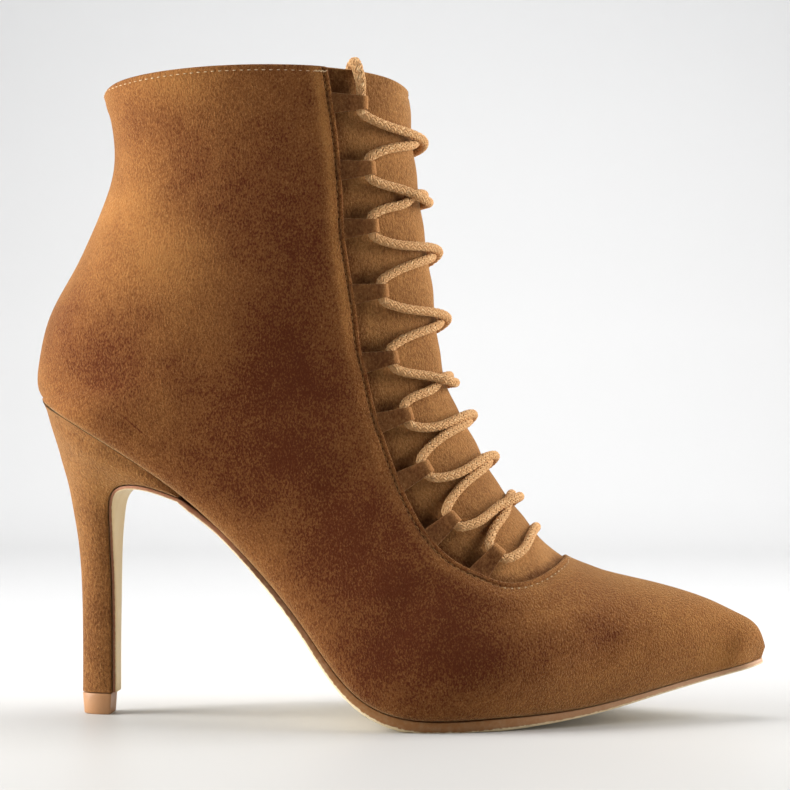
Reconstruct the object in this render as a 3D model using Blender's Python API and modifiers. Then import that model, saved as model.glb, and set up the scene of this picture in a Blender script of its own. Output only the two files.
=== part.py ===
"""Right lace-up ankle boot: pointed toe, stiletto heel, nine lace loops on each side of the throat.

+X runs to the toe, +Y to the inner side of the foot, +Z up. The floor is z = 0.
The last is a fan of sections. Each section lies in a plane that holds the Y direction and runs from
a low point, on the back line and then on the feather edge, to a ridge point on the front of the boot.
"""
import math
from collections import namedtuple

import bmesh
import bpy
import numpy as np
from mathutils import Vector

MM = 0.001

# Driving sizes
LENGTH = 230 * MM
HEIGHT = 202 * MM
BALL_WIDTH = 80 * MM
WALL = 2.0 * MM
GAP = 0.3 * MM
TONGUE_THICKNESS = 1.8 * MM
INSOLE_THICKNESS = 2.2 * MM
COLLAR_RISE = 3.0 * MM
COLLAR_FADE = 0.12
HEEL_ROUND = 25 * MM
TOE_ROUND = 7 * MM

# Lace and loops
LACE_DIAMETER = 2.8 * MM
LOOP_WAYS = [0.050, 0.147, 0.231, 0.326, 0.425, 0.514, 0.604, 0.696, 0.782]
LOOP_COUNT = len(LOOP_WAYS)
LOOP_WIDTH = 6.5 * MM
LOOP_END_WIDTH = 4.8 * MM
LOOP_STRIP = 1.0 * MM
LOOP_REACH = 9.0 * MM
LOOP_HUMP = 0.6 * MM
EYE_RUN = 0.2 * MM
END_DROP = 26 * MM
CORD_STEP = 1.9 * LACE_DIAMETER

# The drawn boot, in millimetres: the sections are stretched from it to the driving sizes.
DRAWN_LENGTH = 230
DRAWN_HEIGHT = 202
DRAWN_BALL = 80

# low and ridge: side-view ends of the section. swing: shift to the inner side. out, inn: half-widths.
# tuck: how far the feather edge lies inside the half-width. belly: share of the rise to the widest place.
# low_round, top_round: roundness below and above it, where 2 is an ellipse and more is squarer.
Section = namedtuple(
    "Section", "name low_x low_z ridge_x ridge_z swing out inn tuck belly low_round top_round")
SECTIONS = [
    Section("collar", -93.6, 197.8, 5.2, 199.0, 0.0, 30.0, 30.0, 0.0, 0.50, 2.1, 2.10),
    Section("ankle", -90.7, 173.0, 6.3, 181.0, 0.0, 28.6, 28.6, 0.0, 0.50, 2.1, 2.10),
    Section("tendon", -95.6, 157.5, 8.0, 167.0, 0.0, 29.0, 29.0, 0.0, 0.49, 2.1, 2.10),
    Section("bone", -103.2, 141.0, 9.8, 153.5, 0.0, 30.2, 30.2, 0.0, 0.48, 2.1, 2.00),
    Section("counter", -110.8, 127.0, 11.6, 142.0, 0.0, 31.2, 31.2, 0.0, 0.47, 2.1, 2.00),
    Section("bulge", -114.5, 112.0, 13.2, 129.5, 0.0, 31.6, 31.6, 0.0, 0.46, 2.2, 2.00),
    Section("heel", -113.3, 100.2, 14.2, 119.8, 0.0, 31.4, 31.4, 6.0, 0.45, 2.3, 2.00),
    Section("seat_back", -104.7, 95.0, 15.0, 114.0, 0.0, 31.2, 31.2, 6.0, 0.44, 2.5, 2.00),
    Section("seat", -87.5, 85.2, 16.9, 105.3, 0.0, 30.8, 30.8, 5.8, 0.42, 2.7, 2.00),
    Section("seat_front", -66.0, 70.5, 20.6, 97.0, 0.0, 30.4, 30.0, 6.8, 0.40, 2.8, 1.95),
    Section("shank", -46.0, 51.9, 25.7, 87.6, 0.0, 31.0, 29.0, 8.0, 0.37, 2.8, 1.90),
    Section("waist", -27.0, 29.9, 32.0, 75.8, 0.0, 34.8, 31.4, 7.0, 0.32, 3.0, 1.90),
    Section("joint", -10.5, 10.5, 39.9, 65.2, 0.0, 38.8, 35.4, 4.2, 0.27, 3.4, 1.90),
    Section("ball", 8.0, 3.7, 50.0, 53.4, 0.4, 40.1, 38.9, 2.8, 0.23, 3.8, 1.90),
    Section("toes", 30.0, 3.9, 62.0, 46.9, 1.2, 36.6, 38.3, 2.4, 0.22, 4.0, 1.90),
    Section("vamp", 55.0, 5.5, 79.0, 42.7, 2.6, 27.4, 31.0, 2.2, 0.22, 4.0, 1.85),
    Section("point", 80.0, 10.6, 96.3, 37.5, 3.4, 17.0, 20.6, 2.0, 0.23, 3.8, 1.80),
    Section("nose", 101.0, 15.6, 106.8, 32.6, 3.9, 8.6, 10.4, 1.7, 0.26, 3.2, 1.80),
    Section("snub", 109.6, 17.7, 113.0, 27.9, 4.0, 6.6, 7.4, 1.5, 0.32, 2.8, 1.90),
    Section("tip", 113.9, 18.9, 115.0, 22.2, 4.0, 4.6, 4.6, 1.4, 0.40, 2.4, 2.00),
]

# Throat edge: way along the fan from collar to the end of the throat, and how much of the bend is open.
Throat = namedtuple("Throat", "way opening")
THROAT = [
    Throat(0.00, 0.346),
    Throat(0.16, 0.325),
    Throat(0.30, 0.293),
    Throat(0.44, 0.276),
    Throat(0.57, 0.303),
    Throat(0.70, 0.338),
    Throat(0.80, 0.340),
    Throat(0.88, 0.309),
    Throat(0.94, 0.272),
    Throat(1.00, 0.272),
]
THROAT_END = 13.26
THROAT_ROUND = 0.075
THROAT_FULL = 0.75  # less than 1 makes the round end fuller than a quarter circle

# Rings of the mesh, by section number: even, or closer at the start or the end of the run.
Run = namedtuple("Run", "start end count closer")
RUNS = [
    Run(0.0, 6.0, 9, "even"),
    Run(6.0, 8.0, 6, "start"),
    Run(8.0, 9.0, 3, "even"),
    Run(9.0, 11.5, 5, "even"),
    Run(11.5, THROAT_END, 8, "end"),
    Run(THROAT_END, 16.0, 5, "even"),
    Run(16.0, 19.0, 8, "end"),
]
LOW_COLUMNS = 6
TOP_COLUMNS = 6
TONGUE_COLUMNS = 4

# Outsole by section number: thickness, reach past the feather edge, and drop below it at the heel's lip.
Sheet = namedtuple("Sheet", "section thickness reach drop")
SHEETS = [
    Sheet(9.15, 1.6, 0.2, 0.9),
    Sheet(9.60, 1.7, 0.3, 0.0),
    Sheet(11.0, 2.2, 0.6, 0.0),
    Sheet(12.0, 3.0, 1.2, 0.0),
    Sheet(13.0, 4.2, 1.4, 0.0),
    Sheet(14.0, 4.0, 1.3, 0.0),
    Sheet(15.0, 2.6, 1.2, 0.0),
    Sheet(16.0, 1.9, 1.0, 0.0),
    Sheet(19.0, 1.6, 0.3, 0.0),
]

SHEET_CHAMFER = 0.3  # share of the thickness that the lower edges lose

# Heel below the seat: back and front of each section, half-width, and share of its depth that is round.
Block = namedtuple("Block", "back_x back_z front_x front_z half round_share")
BLOCKS = [
    Block(-112.2, 97.0, -66.6, 69.6, 24.0, 0.52),
    Block(-110.3, 90.4, -78.2, 73.1, 22.0, 0.62),
    Block(-108.1, 83.0, -86.0, 72.9, 18.2, 0.74),
    Block(-107.1, 79.2, -88.3, 71.7, 16.4, 0.77),
    Block(-105.9, 75.0, -89.9, 69.4, 14.6, 0.80),
    Block(-104.1, 66.0, -90.9, 63.0, 11.6, 0.82),
    Block(-102.5, 56.0, -91.1, 55.0, 9.0, 0.82),
    Block(-101.4, 43.0, -91.0, 43.0, 6.8, 0.80),
    Block(-101.0, 26.0, -91.0, 26.0, 5.6, 0.80),
    Block(-101.0, 7.0, -91.0, 7.0, 5.2, 0.80),
]
TIP_HEIGHT = 6.7 * MM
TIP_TAPER = 0.5 * MM
FLAP_THICKNESS = 1.2 * MM
FLAP_MARGIN = 0.9 * MM

# Where each pair of strands crosses, as a share of the throat's half-width: minus is the outer side.
CROSSING_SHIFT = [-0.05, -0.35, 0.10, 0.06, -0.35, 0.10, 0.0, -0.28]
# Where it lies between its two pairs of loops, as a share of the way down.
CROSSING_WAY = [0.54, 0.50, 0.47, 0.47, 0.50, 0.45, 0.47, 0.53]
# A strand's turn beside its loop: to the ridge, along the throat, and down to the tongue.
TURN_IN = 2.0 * MM
TURN_DOWN = 1.5 * MM
TURN_DROP = 0.4 * MM
# A strand's bends beside its crossing: share of the half-width, of the shift, of the span, and extra height.
BEND_SHARE = 0.22
BEND_SHIFT = 0.6
BEND_SPAN = 0.08
BEND_LIFT = 0.45 * MM
# The bar below the last loops: way from them to the end of the throat, and its bends in the half-width.
BAR_WAY = 0.26
BAR_SHARE = 0.3
# The lace ends pass the tongue's top edge at this share of its half-width.
END_SHARE = 0.78

# Finishes: colour and roughness. Nothing on the boot is metal.
Finish = namedtuple("Finish", "color roughness")
FINISHES = {
    "upper_suede": Finish((0.55, 0.31, 0.11), 0.95),
    "heel_suede": Finish((0.55, 0.31, 0.11), 0.95),
    "loop_suede": Finish((0.47, 0.26, 0.09), 0.95),
    "insole_board": Finish((0.72, 0.58, 0.40), 0.70),
    "outsole_sheet": Finish((0.85, 0.74, 0.53), 0.60),
    "tip_plastic": Finish((0.68, 0.47, 0.30), 0.45),
    "lace_cord": Finish((0.66, 0.42, 0.20), 0.85),
}
COLLECTION = "lace_up_ankle_boot"
SMOOTH_ANGLE = math.radians(35)


def stretch(column):
    """Scale of a table column, from the drawn millimetres to the driving sizes in metres."""
    if column.endswith("_x"):
        return LENGTH / DRAWN_LENGTH
    if column.endswith("_z"):
        return HEIGHT / DRAWN_HEIGHT
    if column in ("swing", "out", "inn", "tuck", "half"):
        return BALL_WIDTH / DRAWN_BALL
    return 1.0


def to_size(row):
    """A row of the heel's table in metres, stretched to the driving sizes."""
    return Block(*(value * stretch(column) for column, value in zip(Block._fields, row)))


HEEL_ROWS = [to_size(row) for row in BLOCKS]


def natural_spline(knots, values):
    """Second derivatives of the natural cubic through the values, one column each."""
    count = len(knots)
    matrix = np.eye(count)
    right = np.zeros_like(values)
    for i in range(1, count - 1):
        before = knots[i] - knots[i - 1]
        after = knots[i + 1] - knots[i]
        matrix[i, i - 1:i + 2] = before, 2 * (before + after), after
        right[i] = 6 * ((values[i + 1] - values[i]) / after - (values[i] - values[i - 1]) / before)
    return np.linalg.solve(matrix, right)


def read_spline(knots, values, bends, places):
    """Values of the natural cubic at the places, a row for each place."""
    places = np.atleast_1d(places).astype(float)
    i = np.clip(np.searchsorted(knots, places) - 1, 0, len(knots) - 2)
    span = (knots[i + 1] - knots[i])[:, None]
    left = (knots[i + 1] - places)[:, None] / span
    right = 1 - left
    curve = (left ** 3 - left) * bends[i] + (right ** 3 - right) * bends[i + 1]
    return left * values[i] + right * values[i + 1] + curve * span ** 2 / 6


SHAPE_COLUMNS = Section._fields[1:]
SCALE = np.array([stretch(column) for column in SHAPE_COLUMNS])
SHAPE = np.array([row[1:] for row in SECTIONS]) * SCALE
# Section numbers become places along the fan by the mean way that low and ridge points travel.
STEPS = np.linalg.norm(np.diff(SHAPE[:, 0:2], axis=0), axis=1)
STEPS = STEPS + np.linalg.norm(np.diff(SHAPE[:, 2:4], axis=0), axis=1)
KNOTS = np.concatenate([[0.0], np.cumsum(STEPS)])
SHAPE_BENDS = natural_spline(KNOTS, SHAPE)
HEEL = [row.name for row in SECTIONS].index("heel")
SEAT_FRONT = [row.name for row in SECTIONS].index("seat_front")


def place(section):
    """Place along the fan of a section number, which may lie between two sections."""
    return np.interp(section, range(len(KNOTS)), KNOTS)


def shape(u):
    """Every column of the section table at places u, by name."""
    values = read_spline(KNOTS, SHAPE, SHAPE_BENDS, u)
    return dict(zip(SHAPE_COLUMNS, values.T))


def round_end(distance, length):
    """Quarter circle from 0 at the end to 1 where the round end is over."""
    share = np.clip(distance / length, 0, 1)
    return np.sqrt(1 - (1 - share) ** 2)


def feather_half(u, side):
    """Half-width of the feather edge, 0 on the back line above it."""
    row = shape(u)
    half = row["out"] if side < 0 else row["inn"]
    behind = round_end(row["low_x"] - SHAPE[HEEL, 0], HEEL_ROUND)
    before = round_end(SHAPE[-1, 0] - row["low_x"], TOE_ROUND)
    return np.where(u <= KNOTS[HEEL], 0.0, (half - row["tuck"]) * behind * before)


def skin(u, bend, side):
    """Outer surface of the last: u runs collar to toe, bend 0 at the low point to 1 at the ridge."""
    u = np.atleast_1d(u).astype(float)
    bend = np.broadcast_to(bend, u.shape)
    row = shape(u)
    half = row["out"] if side < 0 else row["inn"]
    half = half * round_end(SHAPE[-1, 2] - row["ridge_x"], TOE_ROUND)
    low = np.minimum(feather_half(u, side), half)
    across = np.clip(np.sin(math.pi * bend), 0, 1)
    along = np.abs(np.cos(math.pi * bend))
    is_low = bend < 0.5
    power = np.where(is_low, 2 / row["low_round"], 2 / row["top_round"])
    swell = across ** power
    climb = along ** power
    belly = row["belly"]
    rise = np.where(is_low, belly * (1 - climb), belly + (1 - belly) * climb)
    width = np.where(is_low, low + (half - low) * swell, half * swell)
    x = row["low_x"] + (row["ridge_x"] - row["low_x"]) * rise
    z = row["low_z"] + (row["ridge_z"] - row["low_z"]) * rise
    fade = np.clip(1 - u / KNOTS[-1] / COLLAR_FADE, 0, 1) ** 2
    z = z + COLLAR_RISE * across ** 2 * fade
    return np.stack([x, row["swing"] + side * width, z], axis=1)


def throat_bend(u):
    """Bend of the throat edge at places u, 1 past its round end."""
    way = np.clip(np.atleast_1d(u) / place(THROAT_END), 0, 1)
    rows = np.array(THROAT)
    opening = read_spline(rows[:, 0], rows[:, 1:], natural_spline(rows[:, 0], rows[:, 1:]), way)[:, 0]
    return 1 - opening * round_end(1 - way, THROAT_ROUND) ** THROAT_FULL


def ring_places():
    """Places of all mesh rings, from the runs."""
    places = [0.0]
    for run in RUNS:
        share = np.arange(1, run.count + 1) / run.count
        if run.closer == "start":
            share = share ** 2
        if run.closer == "end":
            share = 1 - (1 - share) ** 2
        start = place(run.start)
        places.extend(start + (place(run.end) - start) * share)
    return np.array(places)


RINGS = ring_places()


def finish_material(name):
    """The named finish as a material, made the first time that it is asked for."""
    if name in bpy.data.materials:
        return bpy.data.materials[name]
    material = bpy.data.materials.new(name)
    material.use_nodes = True
    shader = material.node_tree.nodes["Principled BSDF"]
    shader.inputs["Base Color"].default_value = (*FINISHES[name].color, 1)
    shader.inputs["Roughness"].default_value = FINISHES[name].roughness
    shader.inputs["Metallic"].default_value = 0
    return material


def boot_collection():
    """The collection that holds every piece, made the first time that it is asked for."""
    if COLLECTION not in bpy.data.collections:
        bpy.context.scene.collection.children.link(bpy.data.collections.new(COLLECTION))
    return bpy.data.collections[COLLECTION]


def link_piece(name, data, finish):
    """Put a mesh or curve in the boot's collection as a named object with its finish."""
    data.materials.append(finish_material(finish))
    piece = bpy.data.objects.new(name, data)
    boot_collection().objects.link(piece)
    return piece


def add_object(name, bm, finish):
    """Link a finished mesh, smooth but for its sharp edges."""
    mesh = bpy.data.meshes.new(name)
    bm.to_mesh(mesh)
    bm.free()
    mesh.shade_smooth()
    mesh.set_sharp_from_angle(angle=SMOOTH_ANGLE)
    return link_piece(name, mesh, finish)


def add_grid(bm, points, flip):
    """Quads over a grid of points, rows by columns."""
    rows = [[bm.verts.new(co) for co in line] for line in points]
    for upper, lower in zip(rows, rows[1:]):
        for i in range(len(upper) - 1):
            corners = [upper[i], upper[i + 1], lower[i + 1], lower[i]]
            bm.faces.new(corners[::-1] if flip else corners)


def add_loft(bm, loops):
    """Closed loops joined in order, and capped by strips that run across the first and the last."""
    rings = [[bm.verts.new(co) for co in loop] for loop in loops]
    count = len(rings[0])
    for upper, lower in zip(rings, rings[1:]):
        for i in range(count):
            j = (i + 1) % count
            bm.faces.new([upper[i], upper[j], lower[j], lower[i]])
    for ring in (rings[0], rings[-1]):
        for i in range((count - 1) // 2):
            corners = [ring[i], ring[i + 1], ring[-i - 1], ring[-i]]
            bm.faces.new(corners if i else corners[:3])
        if count % 2 == 0:
            bm.faces.new(ring[count // 2 - 1:count // 2 + 2])
    bmesh.ops.remove_doubles(bm, verts=bm.verts, dist=0.01 * MM)
    bmesh.ops.dissolve_degenerate(bm, edges=bm.edges, dist=0.01 * MM)
    bmesh.ops.recalc_face_normals(bm, faces=bm.faces)
    if bm.calc_volume(signed=True) < 0:
        bmesh.ops.reverse_faces(bm, faces=bm.faces)


def add_wall(piece, thickness):
    """Thicken an open sheet to its inner side."""
    wall = piece.modifiers.new("wall", "SOLIDIFY")
    wall.thickness = thickness
    wall.offset = -1
    wall.use_even_offset = False


def column_bends(places):
    """Bend of each mesh column at the places: even up to the widest line, then even up to the throat."""
    top = throat_bend(places)
    lower = [np.full_like(top, 0.5 * i / LOW_COLUMNS) for i in range(LOW_COLUMNS)]
    upper = [0.5 + (top - 0.5) * i / TOP_COLUMNS for i in range(TOP_COLUMNS + 1)]
    return lower + upper


def make_upper():
    """The shell: both halves of the fan, welded on the back line and on the ridge past the throat."""
    bm = bmesh.new()
    for side in (-1, 1):
        columns = [skin(RINGS, bend, side) for bend in column_bends(RINGS)]
        add_grid(bm, np.stack(columns, axis=1), flip=side < 0)
    bmesh.ops.remove_doubles(bm, verts=bm.verts, dist=0.01 * MM)
    add_wall(add_object("upper", bm, "upper_suede"), WALL)


def make_tongue():
    """The sheet under the throat edges, one mesh column and two rings past them."""
    bm = bmesh.new()
    end = int(np.searchsorted(RINGS, place(THROAT_END) - 1e-6)) + 3
    places = RINGS[:end]
    top = throat_bend(places)
    under = column_bends(places)[-2]
    steps = np.arange(TONGUE_COLUMNS + 1) / TONGUE_COLUMNS
    for side in (-1, 1):
        columns = [skin(places, under, side)]
        columns += [skin(places, top + (1 - top) * step, side) for step in steps]
        add_grid(bm, np.stack(columns, axis=1), flip=side < 0)
    bmesh.ops.remove_doubles(bm, verts=bm.verts, dist=0.01 * MM)
    bm.normal_update()
    for vert in bm.verts:
        vert.co -= vert.normal * (WALL + GAP)
    add_wall(add_object("tongue", bm, "upper_suede"), TONGUE_THICKNESS)


def feather_line(places):
    """Side-view points of the feather edge, and the downward normals there."""
    row = shape(places)
    points = np.stack([row["low_x"], row["low_z"]], axis=1)
    ahead = shape(np.minimum(places + 0.2 * MM, KNOTS[-1]))
    behind = shape(places - 0.2 * MM)
    run = np.stack([ahead["low_x"] - behind["low_x"], ahead["low_z"] - behind["low_z"]], axis=1)
    run /= np.linalg.norm(run, axis=1)[:, None]
    return points, np.stack([run[:, 1], -run[:, 0]], axis=1)


def make_insole():
    """The board between the feather edges."""
    x = shape(RINGS)["low_x"]
    inside = (x > SHAPE[HEEL, 0] + 2 * WALL) & (x < SHAPE[-1, 0] - 3 * WALL)
    places = RINGS[(RINGS > KNOTS[HEEL]) & inside]
    points, down = feather_line(places)
    bm = bmesh.new()
    halves = [feather_half(places, side) - WALL - GAP for side in (-1, 1)]
    swing = shape(places)["swing"]
    loops = []
    for i in range(len(places)):
        sole = points[i]
        face = points[i] - down[i] * INSOLE_THICKNESS
        out = swing[i] - max(halves[0][i], 0.2 * MM)
        inn = swing[i] + max(halves[1][i], 0.2 * MM)
        loops.append([(sole[0], out, sole[1]), (sole[0], inn, sole[1]),
                      (face[0], inn, face[1]), (face[0], out, face[1])])
    add_loft(bm, loops)
    add_object("insole", bm, "insole_board")


def breast_line():
    """Front edge of the heel, from the lip to the tip, with half-widths."""
    return np.array([(row.front_x, row.front_z, row.half) for row in HEEL_ROWS])


def make_outsole():
    """The sheet: under the feather edge to the lip, then round the arch and down the front of the heel."""
    bm = bmesh.new()
    table = np.array(SHEETS)
    at = [place(section) for section in table[:, 0]]
    places = np.append(RINGS[RINGS > at[0] + MM][::-1], at[0])
    points, down = feather_line(places)
    thickness, reach, drop = (np.interp(places, at, column) * MM for column in table[:, 1:].T)
    swing = shape(places)["swing"]
    out = feather_half(places, -1) + reach
    inn = feather_half(places, 1) + reach
    loops = []
    for i in range(len(places)):
        top = points[i] + down[i] * (GAP + drop[i])
        bottom = top + down[i] * thickness[i]
        loops.append(sheet_loop(top, bottom, swing[i] - out[i], swing[i] + inn[i]))
    line = breast_line()
    for i in range(len(line)):
        before = line[max(i - 1, 0)]
        after = line[min(i + 1, len(line) - 1)]
        run = (after - before)[:2]
        run /= np.linalg.norm(run)
        forward = np.array([-run[1], run[0]])
        top = line[i][:2] + forward * GAP
        bottom = top + forward * FLAP_THICKNESS
        half = line[i][2] - FLAP_MARGIN
        loops.append(sheet_loop(top, bottom, -half, half))
    add_loft(bm, loops)
    for vert in bm.verts:
        vert.co.z = max(vert.co.z, 0.0)
    add_object("outsole", bm, "outsole_sheet")


def sheet_loop(top, bottom, out, inn):
    """Six corners of the sheet, with a small chamfer on its lower edges."""
    low = top + (bottom - top) * (1 - SHEET_CHAMFER)
    chamfer = SHEET_CHAMFER * np.linalg.norm(bottom - top)
    return [(top[0], out, top[1]), (top[0], inn, top[1]), (low[0], inn, low[1]),
            (bottom[0], inn - chamfer, bottom[1]), (bottom[0], out + chamfer, bottom[1]),
            (low[0], out, low[1])]


def block_loop(row):
    """Outline of one heel section: round at the back, straight across the front."""
    seat = RINGS[(RINGS >= KNOTS[HEEL]) & (RINGS <= KNOTS[SEAT_FRONT])]
    share = (seat - seat[0]) / (seat[-1] - seat[0])
    x = row.back_x + (row.front_x - row.back_x) * share
    z = row.back_z + (row.front_z - row.back_z) * share
    half = row.half * round_end(share, row.round_share)
    return mirrored_loop(x, half, z)


def mirrored_loop(x, half, z):
    """Back point, inner side forward, then the outer side back again."""
    inner = list(zip(x, half, z))
    outer = [(px, -py, pz) for px, py, pz in inner[:0:-1]]
    return inner + outer


def make_heel():
    """The block: seat under the feather edge, then the sections of the table."""
    places = RINGS[(RINGS >= KNOTS[HEEL]) & (RINGS <= KNOTS[SEAT_FRONT])]
    points, down = feather_line(places)
    seat = points + down * GAP
    bm = bmesh.new()
    loops = [mirrored_loop(seat[:, 0], feather_half(places, 1), seat[:, 1])]
    loops += [block_loop(row) for row in HEEL_ROWS]
    add_loft(bm, loops)
    add_object("heel", bm, "heel_suede")


def make_heel_tip():
    """The wear tip, a little smaller at the floor."""
    top = np.array(block_loop(HEEL_ROWS[-1]))
    top[:, 2] = TIP_HEIGHT
    foot = top.copy()
    middle = top.mean(axis=0)
    reach = np.linalg.norm(foot[:, :2] - middle[:2], axis=1)[:, None]
    foot[:, :2] = middle[:2] + (foot[:, :2] - middle[:2]) * (1 - TIP_TAPER / reach)
    foot[:, 2] = 0
    bm = bmesh.new()
    add_loft(bm, [top, foot])
    add_object("heel_tip", bm, "tip_plastic")


def edge_run(u, side):
    """Way down the throat edge at place u."""
    step = 0.5 * MM
    before, after = (Vector(skin(v, throat_bend(v), side)[0]) for v in (u - step, u + step))
    return (after - before).normalized()


def edge_frame(u, side):
    """Throat edge at place u: point, way across a loop, way along it, and outward normal."""
    top = throat_bend(u)
    point = Vector(skin(u, top, side)[0])
    inward = Vector(skin(u, top + LOOP_CHORD * (1 - top), side)[0]) - point
    inward.normalize()
    down = edge_run(u, side)
    down = (down - inward * down.dot(inward)).normalized()
    normal = down.cross(inward).normalized() * -side
    return point, down, inward, normal


def loop_places():
    """Places of the loops, from their ways along the throat edge."""
    places = np.linspace(0, place(THROAT_END), 200)
    edge = skin(places, throat_bend(places), -1)
    way = np.concatenate([[0], np.cumsum(np.linalg.norm(np.diff(edge, axis=0), axis=1))])
    return np.interp(np.array(LOOP_WAYS) * way[-1], way, places)


# Share of the throat's half-width that gives a loop its slant: it follows the tongue's round.
LOOP_CHORD = 0.212
# Height of the lace in its loop over the outer surface, from the strip that lies under it.
EYE_RADIUS = LACE_DIAMETER / 2 + 1.6 * GAP + LOOP_STRIP / 2
STRIP_HEIGHT = GAP + LOOP_STRIP / 2 - (WALL + GAP)
LACE_HEIGHT = STRIP_HEIGHT + EYE_RADIUS


def loop_path():
    """Fold of one loop, as reach from the edge and height over the outer surface."""
    root = GAP + LOOP_STRIP / 2
    back = STRIP_HEIGHT + LOOP_STRIP + 0.15 * MM
    path = [(root, STRIP_HEIGHT), (LOOP_REACH * 0.5, STRIP_HEIGHT + LOOP_HUMP)]
    for angle in np.radians(np.linspace(-90, 130, 7)):
        path.append((LOOP_REACH + EYE_RADIUS * math.cos(angle), LACE_HEIGHT + EYE_RADIUS * math.sin(angle)))
    return path + [(LOOP_REACH * 0.55, back + LOOP_HUMP), (root, back)]


def make_loop(name, u, side):
    """A strip folded round the lace and narrowed there, its two ends along the throat edge."""
    point, down, inward, normal = edge_frame(u, side)
    along = edge_run(u, side)
    bm = bmesh.new()
    lines = []
    for half in (-0.5, 0.5):
        line = []
        for reach, height in loop_path():
            share = min(reach / LOOP_REACH, 1)
            width = LOOP_WIDTH + (LOOP_END_WIDTH - LOOP_WIDTH) * share
            line.append(point + inward * reach + normal * height + along.lerp(down, share) * width * half)
        lines.append(line)
    add_grid(bm, lines, flip=side < 0)
    piece = add_object(name, bm, "loop_suede")
    wall = piece.modifiers.new("wall", "SOLIDIFY")
    wall.thickness = LOOP_STRIP
    wall.offset = 0
    wall.use_even_offset = True


def over_tongue(u, share, height):
    """Point over the tongue: share -1 at the outer throat edge, 0 on the ridge, 1 at the inner edge."""
    side = -1 if share < 0 else 1

    def spot(v, part):
        return Vector(skin(v, 1 - (1 - throat_bend(v)) * part, side)[0])

    here = spot(u, abs(share))
    down = spot(u + MM, abs(share)) - here
    inward = here - spot(u, abs(share) + 0.02)
    if share == 0:
        inward = Vector((0, -side, 0))
    normal = down.cross(inward).normalized() * -side
    return here + normal * (height - WALL - GAP)


def lace_route(places):
    """Points of the lace from the outer top loop down to the bar and up to the inner top loop."""
    low = LACE_DIAMETER / 2 + 2 * GAP
    over = low + LACE_DIAMETER + GAP

    def eye(k, side, travel):
        point, down, inward, normal = edge_frame(places[k], side)
        middle = point + inward * LOOP_REACH + normal * LACE_HEIGHT
        reach = down * (LOOP_END_WIDTH / 2 + EYE_RUN) * travel
        turn = down * TURN_DOWN * travel
        aside = inward * TURN_IN - normal * TURN_DROP
        return [middle - reach - turn + aside, middle - reach, middle, middle + reach, middle + reach + turn + aside]

    def leg(upper, start_side, heading_down):
        shift = CROSSING_SHIFT[upper]
        run = places[upper + 1] - places[upper]
        middle = places[upper] + run * CROSSING_WAY[upper]
        span = run * BEND_SPAN
        lift = over if heading_down == (start_side < 0) else low
        turn = 1 if heading_down else -1
        before = start_side * BEND_SHARE + shift * BEND_SHIFT
        after = -start_side * BEND_SHARE + shift * BEND_SHIFT
        return [over_tongue(middle - turn * span, before, (lift + low) / 2 + BEND_LIFT),
                over_tongue(middle, shift, lift),
                over_tongue(middle + turn * span, after, (lift + low) / 2 + BEND_LIFT)]

    route = []
    side = -1
    for k in range(LOOP_COUNT):
        route += eye(k, side, 1)
        if k < LOOP_COUNT - 1:
            route += leg(k, side, True)
            side = -side
    bar = places[-1] + (place(THROAT_END) - places[-1]) * BAR_WAY
    route += [over_tongue(bar, share, low) for share in (side * BAR_SHARE, 0, -side * BAR_SHARE)]
    side = -side
    for k in range(LOOP_COUNT - 1, -1, -1):
        route += eye(k, side, -1)
        if k > 0:
            route += leg(k - 1, side, False)
            side = -side
    return route[1:-1]


def smooth_points(points, spacing):
    """Points on a smooth curve through the given ones, with more between those that lie far apart."""
    points = np.array([tuple(point) for point in points])
    spans = np.linalg.norm(np.diff(points, axis=0), axis=1)
    way = np.concatenate([[0], np.cumsum(spans)])
    stops = [0.0]
    for start, span in zip(way, spans):
        count = max(int(round(span / spacing)), 1)
        stops.extend(start + span * np.arange(1, count + 1) / count)
    return read_spline(way, points, natural_spline(way, points), stops)


def make_cord(name, points, bevel_steps):
    """A round tube along the points."""
    curve = bpy.data.curves.new(name, "CURVE")
    curve.dimensions = "3D"
    curve.bevel_depth = LACE_DIAMETER / 2
    curve.bevel_resolution = bevel_steps
    curve.use_fill_caps = True
    spline = curve.splines.new("POLY")
    spline.points.add(len(points) - 1)
    for target, co in zip(spline.points, points):
        target.co = (*co, 1)
    link_piece(name, curve, "lace_cord")


def end_route(places, side):
    """Points of one lace end: from the top loop, over the tongue's top edge and down inside."""
    point, down, inward, normal = edge_frame(places[0], side)
    middle = point + inward * LOOP_REACH + normal * LACE_HEIGHT
    start = middle - down * (LOOP_END_WIDTH / 2 + EYE_RUN + 2 * GAP)
    leave = start - down * LACE_DIAMETER
    clear = LACE_DIAMETER / 2 + 2.5 * GAP
    brink = over_tongue(0.0, side * END_SHARE, clear)
    lip = over_tongue(0.0, side * END_SHARE, -TONGUE_THICKNESS / 2) + Vector((0, 0, clear + 0.7 * MM))
    inside = over_tongue(0.0, side * END_SHARE, -TONGUE_THICKNESS - clear - 0.8 * MM)
    brink.z -= 0.5 * MM
    hang = Vector((-3 * MM, 0, -END_DROP))
    return [start, leave, brink, lip, inside, inside + hang * 0.55, inside + hang]


def main():
    for old in list(bpy.data.objects):
        bpy.data.objects.remove(old)
    make_upper()
    make_tongue()
    make_insole()
    make_outsole()
    make_heel()
    make_heel_tip()
    places = loop_places()
    for k, u in enumerate(places):
        make_loop(f"lace_loop_lateral_{k + 1}", u, -1)
        make_loop(f"lace_loop_medial_{k + 1}", u, 1)
    make_cord("lace", smooth_points(lace_route(places), CORD_STEP), 1)
    make_cord("lace_end_lateral", smooth_points(end_route(places, -1), CORD_STEP), 2)
    make_cord("lace_end_medial", smooth_points(end_route(places, 1), CORD_STEP), 2)


main()
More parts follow.
